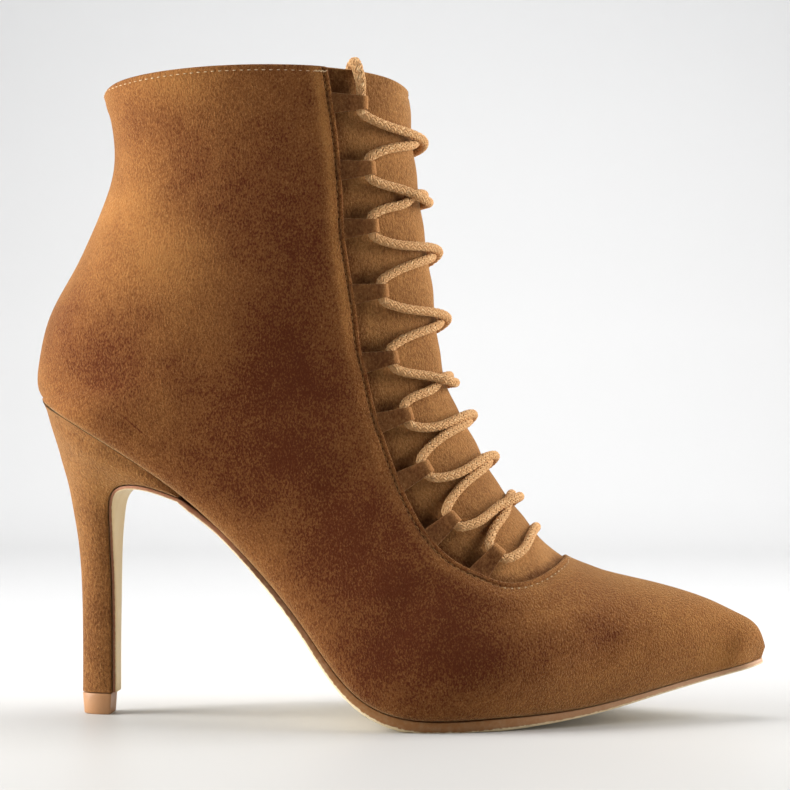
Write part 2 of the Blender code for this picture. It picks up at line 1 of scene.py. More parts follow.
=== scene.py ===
# Lace-up ankle boot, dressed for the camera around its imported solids
import math

import bmesh
import bpy
import numpy as np
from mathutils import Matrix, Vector
from mathutils.bvhtree import BVHTree
from mathutils.kdtree import KDTree


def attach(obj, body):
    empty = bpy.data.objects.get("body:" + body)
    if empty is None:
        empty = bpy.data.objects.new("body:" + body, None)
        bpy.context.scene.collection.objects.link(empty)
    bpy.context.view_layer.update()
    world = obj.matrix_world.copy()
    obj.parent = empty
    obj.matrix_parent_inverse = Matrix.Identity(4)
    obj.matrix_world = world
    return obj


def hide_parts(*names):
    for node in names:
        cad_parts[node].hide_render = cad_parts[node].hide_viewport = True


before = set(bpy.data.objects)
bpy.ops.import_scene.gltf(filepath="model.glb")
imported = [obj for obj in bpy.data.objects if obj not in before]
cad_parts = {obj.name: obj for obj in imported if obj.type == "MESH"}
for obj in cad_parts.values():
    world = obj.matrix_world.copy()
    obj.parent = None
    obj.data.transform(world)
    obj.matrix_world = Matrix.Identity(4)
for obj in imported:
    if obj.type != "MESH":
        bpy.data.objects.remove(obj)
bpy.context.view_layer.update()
mm = 0.001  # lengths below are in millimetres unless a note says otherwise
lateral, medial = -1, 1
sideNames = {"lateral": lateral, "medial": medial}
print("frame loaded,", len(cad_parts), "solids")


# Shader nodes

noiseSpan = (0.3, 0.7)  # where most of a noise's values lie


def nodeMaker(tree):
    # make(kind, inputs, settings): an input is a value, or a socket to link from; a colour has three numbers
    def make(kind, inputs=None, **settings):
        node = tree.nodes.new(kind)
        for key, value in settings.items():
            setattr(node, key, value)
        for key, value in (inputs or {}).items():
            socket = node.inputs[key]
            if isinstance(value, bpy.types.NodeSocket):
                tree.links.new(value, socket)
            else:
                socket.default_value = (*value, 1) if socket.type == "RGBA" else value
        return node
    return make


def newMaterial(name):
    material = bpy.data.materials.new(name)
    material.use_nodes = True
    material.node_tree.nodes.clear()
    return material, nodeMaker(material.node_tree)


def mixColor(make, factor, first, second):
    return make("ShaderNodeMix", {0: factor, 6: first, 7: second}, data_type="RGBA").outputs[2]


def calc(make, operation, first, second=0.0, third=0.0):
    return make("ShaderNodeMath", {0: first, 1: second, 2: third}, operation=operation).outputs[0]


def blend(make, share, first, second):
    return calc(make, "MULTIPLY_ADD", first, share, calc(make, "MULTIPLY", second, 1 - share))


def remap(make, value, low, high, newLow=0.0, newHigh=1.0):
    return make("ShaderNodeMapRange", {"Value": value, "From Min": low, "From Max": high,
                                       "To Min": newLow, "To Max": newHigh}).outputs[0]


def noise(make, vector, scale, detail=2.0, rough=0.55, distortion=0.0):
    return make("ShaderNodeTexNoise", {"Vector": vector, "Scale": scale, "Detail": detail,
                                       "Roughness": rough, "Distortion": distortion}).outputs["Fac"]


def coordsOf(make):
    return make("ShaderNodeTexCoord").outputs["Object"]


def attribute(make, name):
    return make("ShaderNodeAttribute", None, attribute_name=name).outputs["Fac"]


def placeGroup(make, tree, inputs):
    return make("ShaderNodeGroup", inputs, node_tree=tree).outputs


def surface(make, look, color, rough, height=None):
    # look gives specular, bump and depth, and for a sheen its weight, roughness and rim colour
    inputs = {"Base Color": color, "Roughness": rough, "Specular IOR Level": look["specular"]}
    if height is not None:
        relief = make("ShaderNodeBump", {"Height": height, "Strength": look["bump"],
                                         "Distance": look["depth"] * mm})
        inputs["Normal"] = relief.outputs[0]
    if "sheen" in look:
        inputs["Sheen Weight"] = look["sheen"]
        inputs["Sheen Roughness"] = look["sheenRough"]
        inputs["Sheen Tint"] = look["rim"]
    shader = make("ShaderNodeBsdfPrincipled", inputs)
    make("ShaderNodeOutputMaterial", {"Surface": shader.outputs[0]})


# Camera and light

cameraSettings = {
    "target": (-1.3, 0.0, 101.2),
    "turn": 4.0,  # degrees round to the toe
    "distance": 720.0,
    "viewWidth": 249.6,  # width seen at the target
    "sensor": 36.0,
    "clip": 10.0,
}

stageSettings = {
    "width": 4000.0,
    "front": -1500.0,
    "back": 1170.0,
    "bend": 420.0,
    "height": 1800.0,
    "bendSteps": 16,
    "paper": {"rough": 0.45, "specular": 0.25},
    # painted light and shade on the paper: darker on the near floor, paler on the far floor and the bend, and
    # greyer up the wall
    "nearFloor": (0.492, 0.484, 0.466),
    "farFloor": (0.585, 0.585, 0.585),
    "bendTone": (0.82, 0.82, 0.82),
    "wall": (0.695, 0.698, 0.702),
    "floorTurn": (-60.0, 320.0),  # y between which the floor turns paler
    "bendTurn": (320.0, 900.0),  # the same, on to the bend
    "wallTurn": (150.0, 430.0),  # heights between which the wall turns greyer
    "worldColor": (1.0, 1.0, 1.0),
    "worldStrength": 0.03,
    # name, place, aimed at, size, watts
    "lamps": [
        ("leftBox", (-640, -110, 300), (-60, 0, 120), (360, 560), 10.2),
        ("rightBox", (640, 70, 290), (40, 0, 80), (400, 520), 8.0),
        ("topBox", (-30, 120, 720), (0, 20, 60), (620, 380), 3.6),
        ("sweepBox", (0, 450, 860), (0, 1190, 220), (2300, 280), 7.0),
    ],
}


def addObject(name, data):
    made = bpy.data.objects.new(name, data)
    bpy.context.scene.collection.objects.link(made)
    return made


def aimed(way):
    return way.to_track_quat("-Z", "Y").to_euler()


def makeCamera():
    values = cameraSettings
    camera = addObject("camera", bpy.data.cameras.new("camera"))
    turn = math.radians(values["turn"])
    back = Vector((math.sin(turn), -math.cos(turn), 0))
    camera.location = Vector(values["target"]) * mm + back * values["distance"] * mm
    camera.rotation_euler = aimed(-back)
    camera.data.sensor_width = values["sensor"]
    camera.data.lens = values["sensor"] * values["distance"] / values["viewWidth"]
    camera.data.clip_start = values["clip"] * mm
    bpy.context.scene.camera = camera


def paperMaterial():
    values = stageSettings
    material, make = newMaterial("studioPaper")
    spot = make("ShaderNodeSeparateXYZ", {0: coordsOf(make)}).outputs
    paper = values["nearFloor"]
    # the paper's colour graded along the sweep: painted light and shade
    turns = [("Y", "floorTurn", "farFloor"), ("Y", "bendTurn", "bendTone"), ("Z", "wallTurn", "wall")]
    for axis, turn, tone in turns:
        way = remap(make, spot[axis], *(place * mm for place in values[turn]))
        paper = mixColor(make, way, paper, values[tone])
    surface(make, values["paper"], paper, values["paper"]["rough"])
    return material


def makeStage():
    values = stageSettings
    world = bpy.data.worlds.new("studio")
    bpy.context.scene.world = world
    world.use_nodes = True
    sky = world.node_tree.nodes["Background"]
    sky.inputs["Color"].default_value = (*values["worldColor"], 1)
    sky.inputs["Strength"].default_value = values["worldStrength"]
    # floor that bends up into the backdrop
    back, bend = values["back"], values["bend"]
    profile = [(values["front"], 0.0), (back - bend, 0.0)]
    for angle in np.linspace(0, math.pi / 2, values["bendSteps"] + 1)[1:]:
        profile.append((back - bend * (1 - math.sin(angle)), bend * (1 - math.cos(angle))))
    profile.append((back, values["height"]))
    half = values["width"] / 2
    points = [(x * mm, y * mm, z * mm) for y, z in profile for x in (-half, half)]
    faces = [(2 * i, 2 * i + 1, 2 * i + 3, 2 * i + 2) for i in range(len(profile) - 1)]
    mesh = bpy.data.meshes.new("studioSweep")
    mesh.from_pydata(points, [], faces)
    mesh.shade_smooth()
    mesh.materials.append(paperMaterial())
    sweep = addObject("studioSweep", mesh)
    for name, place, aim, size, watts in values["lamps"]:
        lamp = bpy.data.lights.new(name, "AREA")
        lamp.shape = "RECTANGLE"
        lamp.size, lamp.size_y = size[0] * mm, size[1] * mm
        lamp.energy = watts
        holder = addObject(name, lamp)
        holder.location = Vector(place) * mm
        holder.rotation_euler = aimed(Vector(aim) - Vector(place))
    bpy.context.scene.view_settings.view_transform = "Standard"


makeCamera()
makeStage()
print("camera and studio made")


# The last, as in the part's source

lastForm = {
    "wall": 2.0,
    "gap": 0.3,
    "collarRise": 3.0,
    "collarFade": 0.12,
    "heelRound": 25.0,
    "toeRound": 7.0,
    "throatEnd": 13.26,  # by section number, as the four below
    "heelSection": 6,
    "backOpen": 8,
    "seatFront": 9,
    "tailStart": 16.6,
    "throatRound": 0.075,
    "throatFull": 0.75,  # less than 1 is fuller than a quarter circle
    "columns": ("lowX", "lowZ", "ridgeX", "ridgeZ", "swing", "outer", "inner", "tuck",
                "belly", "lowRound", "topRound"),
    "sections": [
        (-93.6, 197.8, 5.2, 199.0, 0.0, 30.0, 30.0, 0.0, 0.50, 2.1, 2.10),  # collar
        (-90.7, 173.0, 6.3, 181.0, 0.0, 28.6, 28.6, 0.0, 0.50, 2.1, 2.10),  # ankle
        (-95.6, 157.5, 8.0, 167.0, 0.0, 29.0, 29.0, 0.0, 0.49, 2.1, 2.10),  # tendon
        (-103.2, 141.0, 9.8, 153.5, 0.0, 30.2, 30.2, 0.0, 0.48, 2.1, 2.00),  # bone
        (-110.8, 127.0, 11.6, 142.0, 0.0, 31.2, 31.2, 0.0, 0.47, 2.1, 2.00),  # counter
        (-114.5, 112.0, 13.2, 129.5, 0.0, 31.6, 31.6, 0.0, 0.46, 2.2, 2.00),  # bulge
        (-113.3, 100.2, 14.2, 119.8, 0.0, 31.4, 31.4, 6.0, 0.45, 2.3, 2.00),  # heel
        (-104.7, 95.0, 15.0, 114.0, 0.0, 31.2, 31.2, 6.0, 0.44, 2.5, 2.00),  # back of the seat
        (-87.5, 85.2, 16.9, 105.3, 0.0, 30.8, 30.8, 5.8, 0.42, 2.7, 2.00),  # seat
        (-66.0, 70.5, 20.6, 97.0, 0.0, 30.4, 30.0, 6.8, 0.40, 2.8, 1.95),  # front of the seat
        (-46.0, 51.9, 25.7, 87.6, 0.0, 31.0, 29.0, 8.0, 0.37, 2.8, 1.90),  # shank
        (-27.0, 29.9, 32.0, 75.8, 0.0, 34.8, 31.4, 7.0, 0.32, 3.0, 1.90),  # waist
        (-10.5, 10.5, 39.9, 65.2, 0.0, 38.8, 35.4, 4.2, 0.27, 3.4, 1.90),  # joint
        (8.0, 3.7, 50.0, 53.4, 0.4, 40.1, 38.9, 2.8, 0.23, 3.8, 1.90),  # ball
        (30.0, 3.9, 62.0, 46.9, 1.2, 36.6, 38.3, 2.4, 0.22, 4.0, 1.90),  # toes
        (55.0, 5.5, 79.0, 42.7, 2.6, 27.4, 31.0, 2.2, 0.22, 4.0, 1.85),  # vamp
        (80.0, 10.6, 96.3, 37.5, 3.4, 17.0, 20.6, 2.0, 0.23, 3.8, 1.80),  # point
        (101.0, 15.6, 106.8, 32.6, 3.9, 8.6, 10.4, 1.7, 0.26, 3.2, 1.80),  # nose
        (109.6, 17.7, 113.0, 27.9, 4.0, 6.6, 7.4, 1.5, 0.32, 2.8, 1.90),  # snub
        (113.9, 18.9, 115.0, 22.2, 4.0, 4.6, 4.6, 1.4, 0.40, 2.4, 2.00),  # tip
    ],
    # way along the throat, share of the bend that is open
    "throat": [(0.00, 0.346), (0.16, 0.325), (0.30, 0.293), (0.44, 0.276), (0.57, 0.303),
               (0.70, 0.338), (0.80, 0.340), (0.88, 0.309), (0.94, 0.272), (1.00, 0.272)],
}


def unit(vectors):
    return vectors / np.linalg.norm(vectors, axis=1)[:, None]


def bell(distance, reach):
    return np.exp(-(distance / reach) ** 2)


def wayAlong(points):
    return np.concatenate([[0.0], np.cumsum(np.linalg.norm(np.diff(points, axis=0), axis=1))])


def alongLine(line, way, at):
    # points of a line at the given ways along it
    return np.stack([np.interp(at, way, line[:, k]) for k in range(3)], axis=1)


def naturalSpline(knots, values):
    count = len(knots)
    matrix = np.eye(count)
    right = np.zeros_like(values)
    for i in range(1, count - 1):
        before = knots[i] - knots[i - 1]
        after = knots[i + 1] - knots[i]
        matrix[i, i - 1:i + 2] = before, 2 * (before + after), after
        right[i] = 6 * ((values[i + 1] - values[i]) / after - (values[i] - values[i - 1]) / before)
    return np.linalg.solve(matrix, right)


def readSpline(knots, values, bends, places):
    places = np.atleast_1d(places).astype(float)
    i = np.clip(np.searchsorted(knots, places) - 1, 0, len(knots) - 2)
    span = (knots[i + 1] - knots[i])[:, None]
    left = (knots[i + 1] - places)[:, None] / span
    right = 1 - left
    curve = (left ** 3 - left) * bends[i] + (right ** 3 - right) * bends[i + 1]
    return left * values[i] + right * values[i + 1] + curve * span ** 2 / 6


def splineThrough(knots, values, places):
    return readSpline(knots, values, naturalSpline(knots, values), places)


lastTable = np.array(lastForm["sections"])
lastSteps = np.linalg.norm(np.diff(lastTable[:, 0:2], axis=0), axis=1)
lastSteps = lastSteps + np.linalg.norm(np.diff(lastTable[:, 2:4], axis=0), axis=1)
lastKnots = np.concatenate([[0.0], np.cumsum(lastSteps)])
lastBends = naturalSpline(lastKnots, lastTable)
heelStart = lastTable[lastForm["heelSection"], 0]
lowTip, ridgeTip = lastTable[-1, 0], lastTable[-1, 2]


def placeOf(section):
    return np.interp(section, range(len(lastKnots)), lastKnots)


throatEnd = placeOf(lastForm["throatEnd"])
heelPlace = placeOf(lastForm["heelSection"])
seatPlace = placeOf(lastForm["seatFront"])
tailPlace = placeOf(lastForm["tailStart"])


def shapeAt(u):
    values = readSpline(lastKnots, lastTable, lastBends, u)
    return dict(zip(lastForm["columns"], values.T))


def roundEnd(distance, length):
    share = np.clip(distance / length, 0, 1)
    return np.sqrt(1 - (1 - share) ** 2)


def featherHalf(u, side):
    row = shapeAt(u)
    half = row["outer"] if side < 0 else row["inner"]
    behind = roundEnd(row["lowX"] - heelStart, lastForm["heelRound"])
    before = roundEnd(lowTip - row["lowX"], lastForm["toeRound"])
    return np.where(u <= heelPlace, 0.0, (half - row["tuck"]) * behind * before)


def skin(u, bend, side):
    # u runs from collar to toe, bend from 0 at the low edge to 1 on the ridge
    u = np.atleast_1d(u).astype(float)
    bend = np.broadcast_to(bend, u.shape)
    row = shapeAt(u)
    half = row["outer"] if side < 0 else row["inner"]
    half = half * roundEnd(ridgeTip - row["ridgeX"], lastForm["toeRound"])
    low = np.minimum(featherHalf(u, side), half)
    across = np.clip(np.sin(math.pi * bend), 0, 1)
    along = np.abs(np.cos(math.pi * bend))
    isLow = bend < 0.5
    power = np.where(isLow, 2 / row["lowRound"], 2 / row["topRound"])
    swell = across ** power
    climb = along ** power
    belly = row["belly"]
    rise = np.where(isLow, belly * (1 - climb), belly + (1 - belly) * climb)
    width = np.where(isLow, low + (half - low) * swell, half * swell)
    x = row["lowX"] + (row["ridgeX"] - row["lowX"]) * rise
    z = row["lowZ"] + (row["ridgeZ"] - row["lowZ"]) * rise
    fade = np.clip(1 - u / lastKnots[-1] / lastForm["collarFade"], 0, 1) ** 2
    z = z + lastForm["collarRise"] * across ** 2 * fade
    return np.stack([x, row["swing"] + side * width, z], axis=1)


def throatBend(u):
    way = np.clip(np.atleast_1d(u) / throatEnd, 0, 1)
    rows = np.array(lastForm["throat"])
    opening = splineThrough(rows[:, 0], rows[:, 1:], way)[:, 0]
    return 1 - opening * roundEnd(1 - way, lastForm["throatRound"]) ** lastForm["throatFull"]


def featherLine(places, step=0.2):
    # side-view points of the low edge, and the normals down from it
    row = shapeAt(places)
    points = np.stack([row["lowX"], row["lowZ"]], axis=1)
    ahead = shapeAt(np.minimum(places + step, lastKnots[-1]))
    behind = shapeAt(places - step)
    run = unit(np.stack([ahead["lowX"] - behind["lowX"], ahead["lowZ"] - behind["lowZ"]], axis=1))
    return points, np.stack([run[:, 1], -run[:, 0]], axis=1)


def smoothPoints(points, spacing, fineness=40):
    # even points on the natural curve through the given ones
    points = np.array([tuple(p) for p in points])
    way = wayAlong(points)
    fine = splineThrough(way, points, np.linspace(0, way[-1], fineness * len(points)))
    fineWay = wayAlong(fine)
    count = max(int(round(fineWay[-1] / spacing)), 2)
    return alongLine(fine, fineWay, np.linspace(0, fineWay[-1], count + 1))


print("last ready")


# Shared shading

def newGroup(name, inputs, outputs):
    tree = bpy.data.node_groups.new(name, "ShaderNodeTree")
    for label, kind, value in inputs:
        socket = tree.interface.new_socket(label, in_out="INPUT", socket_type="NodeSocket" + kind)
        socket.default_value = value
    for label, kind in outputs:
        tree.interface.new_socket(label, in_out="OUTPUT", socket_type="NodeSocket" + kind)
    make = nodeMaker(tree)
    return tree, make, make("NodeGroupInput").outputs


napSettings = {
    "lean": (0.35, 0.5, 0.2),  # how the short fibres are turned, and drawn out
    "stretch": (1.0, 1.0, 0.62),
    "streak": 6.0,  # how much finer than the patches
    "patchShare": 0.72,  # of the tone, the rest is streaks
    "toneRange": (0.34, 0.66),
    "fibre": 2.1,  # how much finer than the grain
    "grainShare": 0.65,  # of the relief, the rest is fibres
    "flatter": ((-60.0, 20.0), (0.65, 1.0)),  # relief behind and before: x, share
    "tipFibres": (0.55, 0.74),  # fibres that show pale tips
    "tipTones": (0.1, 1.1, 0.04, 0.8),  # more of them on a paler tone
    "rough": (0.98, 0.84),
}
poreSettings = {
    "mottled": (0.35, 0.7, 0.7),  # span and amount
    "specked": (0.45, 0.75, 0.0, 0.3),
    "rough": (-0.06, 0.12),  # added over the mottling
}
foldShadeSettings = {
    "unevenScale": 420.0,
    "uneven": 0.3,
    "fadeIn": (0.0, 0.2),  # shares of its length
    "fadeOut": (1.0, 0.6),
}


def makeSuedeNap():
    # brushed patches, short fibres and pale fibre tips
    values = napSettings
    tree, make, given = newGroup(
        "suedeNap",
        [("Deep", "Color", (0.2, 0.08, 0.03, 1)), ("Face", "Color", (0.4, 0.17, 0.06, 1)),
         ("Tip", "Color", (0.6, 0.35, 0.17, 1)), ("Patch", "Float", 45.0), ("Grain", "Float", 1500.0),
         ("Brush", "Float", 0.0), ("Contrast", "Float", 0.3)],
        [("Color", "Color"), ("Roughness", "Float"), ("Height", "Float")])
    coords = coordsOf(make)
    leaning = make("ShaderNodeMapping", {"Vector": coords, "Rotation": values["lean"],
                                         "Scale": values["stretch"]}).outputs[0]
    streakScale = calc(make, "MULTIPLY", given["Patch"], values["streak"])
    fibreScale = calc(make, "MULTIPLY", given["Grain"], values["fibre"])
    patch = noise(make, coords, given["Patch"], detail=2.0, rough=0.5, distortion=0.7)
    streak = noise(make, coords, streakScale, detail=2.0, rough=0.5, distortion=0.6)
    grain = noise(make, leaning, given["Grain"], detail=1.5, rough=0.55, distortion=0.35)
    fibre = noise(make, coords, fibreScale, detail=2.0, rough=0.6)
    tone = blend(make, values["patchShare"], patch, streak)
    # the tone takes brushed nap marks with painted shade and painted highlights from the piece
    tone = calc(make, "ADD", remap(make, tone, *values["toneRange"], *values["toneRange"]), given["Brush"])
    speckle = remap(make, grain, *noiseSpan, -1, 1)
    tone = calc(make, "MULTIPLY_ADD", speckle, given["Contrast"], tone)
    clamped = make("ShaderNodeClamp", {"Value": tone}).outputs[0]
    color = mixColor(make, clamped, given["Deep"], given["Face"])
    tips = calc(make, "MULTIPLY", remap(make, fibre, *values["tipFibres"]),
                remap(make, tone, *values["tipTones"]))
    color = mixColor(make, tips, color, given["Tip"])
    rough = remap(make, grain, *noiseSpan, *values["rough"])
    (behind, before), shares = values["flatter"]
    along = make("ShaderNodeSeparateXYZ", {0: coords}).outputs["X"]
    height = calc(make, "MULTIPLY", blend(make, values["grainShare"], grain, fibre),
                  remap(make, along, behind * mm, before * mm, *shares))
    make("NodeGroupOutput", {"Color": color, "Roughness": rough, "Height": height})
    return tree


def makeFineGrain():
    # small pores and slow mottling, for lining, sole and moulded pieces
    tree, make, given = newGroup(
        "fineGrain",
        [("Base", "Color", (0.7, 0.6, 0.4, 1)), ("Worn", "Color", (0.6, 0.5, 0.3, 1)),
         ("Mottle", "Float", 60.0), ("Pore", "Float", 1300.0), ("Smooth", "Float", 0.45)],
        [("Color", "Color"), ("Roughness", "Float"), ("Height", "Float")])
    coords = coordsOf(make)
    mottle = noise(make, coords, given["Mottle"], detail=5.0, rough=0.6, distortion=0.3)
    pores = make("ShaderNodeTexVoronoi", {"Vector": coords, "Scale": given["Pore"]}).outputs["Distance"]
    speck = noise(make, coords, given["Pore"], detail=3.0, rough=0.6)
    low, high, amount = poreSettings["mottled"]
    amount = calc(make, "MULTIPLY_ADD", remap(make, mottle, low, high), amount,
                  remap(make, speck, *poreSettings["specked"]))
    color = mixColor(make, amount, given["Base"], given["Worn"])
    rough = calc(make, "ADD", given["Smooth"], remap(make, mottle, *noiseSpan, *poreSettings["rough"]))
    make("NodeGroupOutput", {"Color": color, "Roughness": rough, "Height": pores})
    return tree


def makeCreaseShade():
    # painted shade of a thin uneven fold on the outer side, between two side-view places
    tree, make, given = newGroup(
        "creaseShade",
        [("Start", "Vector", (0, 0, 0)), ("Run", "Vector", (0.01, 0, 0)), ("Width", "Float", 0.0004)],
        [("Mask", "Float")])

    def vector(operation, first, second=(0, 0, 0)):
        return make("ShaderNodeVectorMath", {0: first, 1: second}, operation=operation).outputs

    coords = coordsOf(make)
    away = vector("SUBTRACT", vector("MULTIPLY", coords, (1, 0, 1))[0], given["Start"])[0]
    way = calc(make, "DIVIDE", vector("DOT_PRODUCT", away, given["Run"])["Value"],
               vector("DOT_PRODUCT", given["Run"], given["Run"])["Value"])
    way = make("ShaderNodeClamp", {"Value": way}).outputs[0]
    nearest = make("ShaderNodeVectorMath", {0: given["Run"], "Scale": way}, operation="SCALE").outputs[0]
    distance = vector("LENGTH", vector("SUBTRACT", away, nearest)[0])["Value"]
    uneven = remap(make, noise(make, coords, foldShadeSettings["unevenScale"]), *noiseSpan,
                   0.0, foldShadeSettings["uneven"] * mm)
    near = calc(make, "DIVIDE", calc(make, "ADD", distance, uneven), given["Width"])
    near = calc(make, "SUBTRACT", 1.0, near)
    fade = calc(make, "MULTIPLY", remap(make, way, *foldShadeSettings["fadeIn"]),
                remap(make, way, *foldShadeSettings["fadeOut"]))
    outer = calc(make, "LESS_THAN", make("ShaderNodeSeparateXYZ", {0: coords}).outputs["Y"], 0.0)
    mask = calc(make, "MULTIPLY", calc(make, "MULTIPLY", calc(make, "MAXIMUM", near, 0.0), fade), outer)
    make("NodeGroupOutput", {"Mask": mask})
    return tree


suedeNap = makeSuedeNap()
fineGrain = makeFineGrain()
creaseShade = makeCreaseShade()


def suedeMaterial(name, look):
    material, make = newMaterial(name)
    # nap marks with painted shade and painted light, as set on each piece
    napAndPaintedLight = attribute(make, "napAndPaintedLight")
    # painted shade along a thin fold, added to the rest
    if "line" in look:
        (startX, startZ), (endX, endZ), width, tone = look["line"]
        mask = placeGroup(make, creaseShade, {
            "Start": (startX * mm, 0, startZ * mm), "Width": 2 * width * mm,
            "Run": ((endX - startX) * mm, 0, (endZ - startZ) * mm)})["Mask"]
        napAndPaintedLight = calc(make, "MULTIPLY_ADD", mask, tone, napAndPaintedLight)
    keys = ("deep", "face", "tip", "patch", "grain", "contrast")
    nap = placeGroup(make, suedeNap, {"Brush": napAndPaintedLight, **{key.title(): look[key] for key in keys}})
    surface(make, look, nap["Color"], nap["Roughness"], nap["Height"])
    return material


def grainNodes(make, look):
    return placeGroup(make, fineGrain, {"Base": look["base"], "Worn": look["worn"], "Mottle": look["mottle"],
                                        "Pore": look["pore"], "Smooth": look["rough"]})


def grainMaterial(name, look):
    material, make = newMaterial(name)
    grain = grainNodes(make, look)
    surface(make, look, grain["Color"], grain["Roughness"], grain["Height"])
    return material


liningLook = {
    "base": (0.56, 0.40, 0.24), "worn": (0.46, 0.31, 0.17), "mottle": 70.0, "pore": 1500.0,
    "rough": 0.55, "bump": 0.25, "depth": 0.15, "specular": 0.3,
}
liningMaterial = grainMaterial("lining", liningLook)
print("shared shading ready")


# Sheets with a wall and rolled edges

def newPiece(name, points, faces, materials, sharp=None):
    mesh = bpy.data.meshes.new(name)
    mesh.from_pydata((np.asarray(points, float) * mm).tolist(), [], [list(map(int, f)) for f in faces])
    for material in materials:
        mesh.materials.append(material)
    mesh.shade_smooth()
    if sharp:
        mesh.set_sharp_from_angle(angle=math.radians(sharp))
    return addObject(name, mesh)


def dress(piece, slot, *nodes):
    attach(piece, "root")
    if nodes:
        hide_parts(*nodes)


def weld(bm, close):
    bmesh.ops.remove_doubles(bm, verts=bm.verts, dist=close)
    bmesh.ops.dissolve_degenerate(bm, edges=bm.edges, dist=close)
    bm.verts.index_update()


def evenPatch(bm, patch):
    # inner points of a patch smoothed on both sides, in rounds that reach less and less far
    x, z = patch["place"]
    wide, high = patch["reach"]
    clear, closing = patch["middle"]
    for step in np.linspace(patch["least"], 1, patch["rounds"])[::-1]:
        inside = [v for v in bm.verts if not v.is_boundary and abs(v.co.y) > clear - closing * step
                  and math.hypot((v.co.x - x) / wide, (v.co.z - z) / high) < step]
        bmesh.ops.smooth_vert(bm, verts=inside, factor=patch["factor"],
                              use_axis_x=True, use_axis_y=True, use_axis_z=True)


def weldGrids(grids, patch=None, close=0.004):
    # grids: (rows x columns x 3 points, flip); returns welded points, normals, faces and edge cycles
    bm = bmesh.new()
    for points, flip in grids:
        rows = [[bm.verts.new(co) for co in line] for line in points]
        for upper, lower in zip(rows, rows[1:]):
            for i in range(len(upper) - 1):
                corners = [upper[i], upper[i + 1], lower[i + 1], lower[i]]
                bm.faces.new(corners[::-1] if flip else corners)
    weld(bm, close)
    if patch:
        evenPatch(bm, patch)
    bm.normal_update()
    points = np.array([v.co for v in bm.verts])
    normals = np.array([v.normal for v in bm.verts])
    faces = [[v.index for v in f.verts] for f in bm.faces]
    cycles = edgeCycles(bm)
    bm.free()
    return points, normals, faces, cycles


def edgeCycles(bm):
    after = {}
    for edge in bm.edges:
        if edge.is_boundary:
            loop = edge.link_loops[0]
            after[loop.vert.index] = loop.link_loop_next.vert.index
    cycles = []
    while after:
        start = next(iter(after))
        cycle = [start]
        step = after.pop(start)
        while step != start:
            cycle.append(step)
            step = after.pop(step)
        cycles.append(np.array(cycle))
    return cycles


def evenOut(values, rounds):
    # blurs vectors along a closed cycle
    for _ in range(rounds):
        values = (np.roll(values, 1, axis=0) + 2 * values + np.roll(values, -1, axis=0)) / 4
    return unit(values)


def wallSheet(sheet, lift, wall, bulge, rolled, steps=7, blur=4, outerShare=0.6):
    # closes an open sheet: lifted outer face, inner face one wall below, rolled or flat rims
    points, normals, faces, cycles = sheet
    outer = points + normals * lift[:, None]
    inner = points - normals * wall
    count = len(points)
    allPoints = [outer, inner]
    allFaces = list(faces) + [[count + i for i in face[::-1]] for face in faces]
    kinds = [0] * len(faces) + [1] * len(faces)
    total = 2 * count
    for cycle in cycles:
        rings = [cycle]
        if rolled(points[cycle]):
            tangent = np.roll(points[cycle], -1, axis=0) - np.roll(points[cycle], 1, axis=0)
            out = evenOut(np.cross(tangent, normals[cycle]), blur)
            middle = (outer[cycle] + inner[cycle]) / 2
            half = (outer[cycle] - inner[cycle]) / 2
            for angle in math.pi * np.arange(1, steps) / steps:
                allPoints.append(middle + half * math.cos(angle) + out * bulge * math.sin(angle))
                rings.append(total + np.arange(len(cycle)))
                total += len(cycle)
        rings.append(cycle + count)
        for k, (near, far) in enumerate(zip(rings, rings[1:])):
            for i in range(len(cycle)):
                j = (i + 1) % len(cycle)
                allFaces.append([near[j], near[i], far[i], far[j]])
                kinds.append(0 if k < len(rings) * outerShare else 1)
    return np.concatenate(allPoints), allFaces, kinds


def setKinds(piece, kinds):
    piece.data.polygons.foreach_set("material_index", np.array(kinds, np.int32))


def setNumber(piece, name, values):
    layer = piece.data.attributes.new(name, "FLOAT", "POINT")
    layer.data.foreach_set("value", np.asarray(values, np.float32))


def distanceTo(points, line):
    tree = KDTree(len(line))
    for i, co in enumerate(line):
        tree.insert(co, i)
    tree.balance()
    found = [tree.find(co) for co in points]
    return np.array([f[2] for f in found]), np.array([f[1] for f in found])


def ease(values, start, end):
    share = np.clip((values - start) / (end - start), 0, 1)
    return share * share * (3 - 2 * share)


# Upper

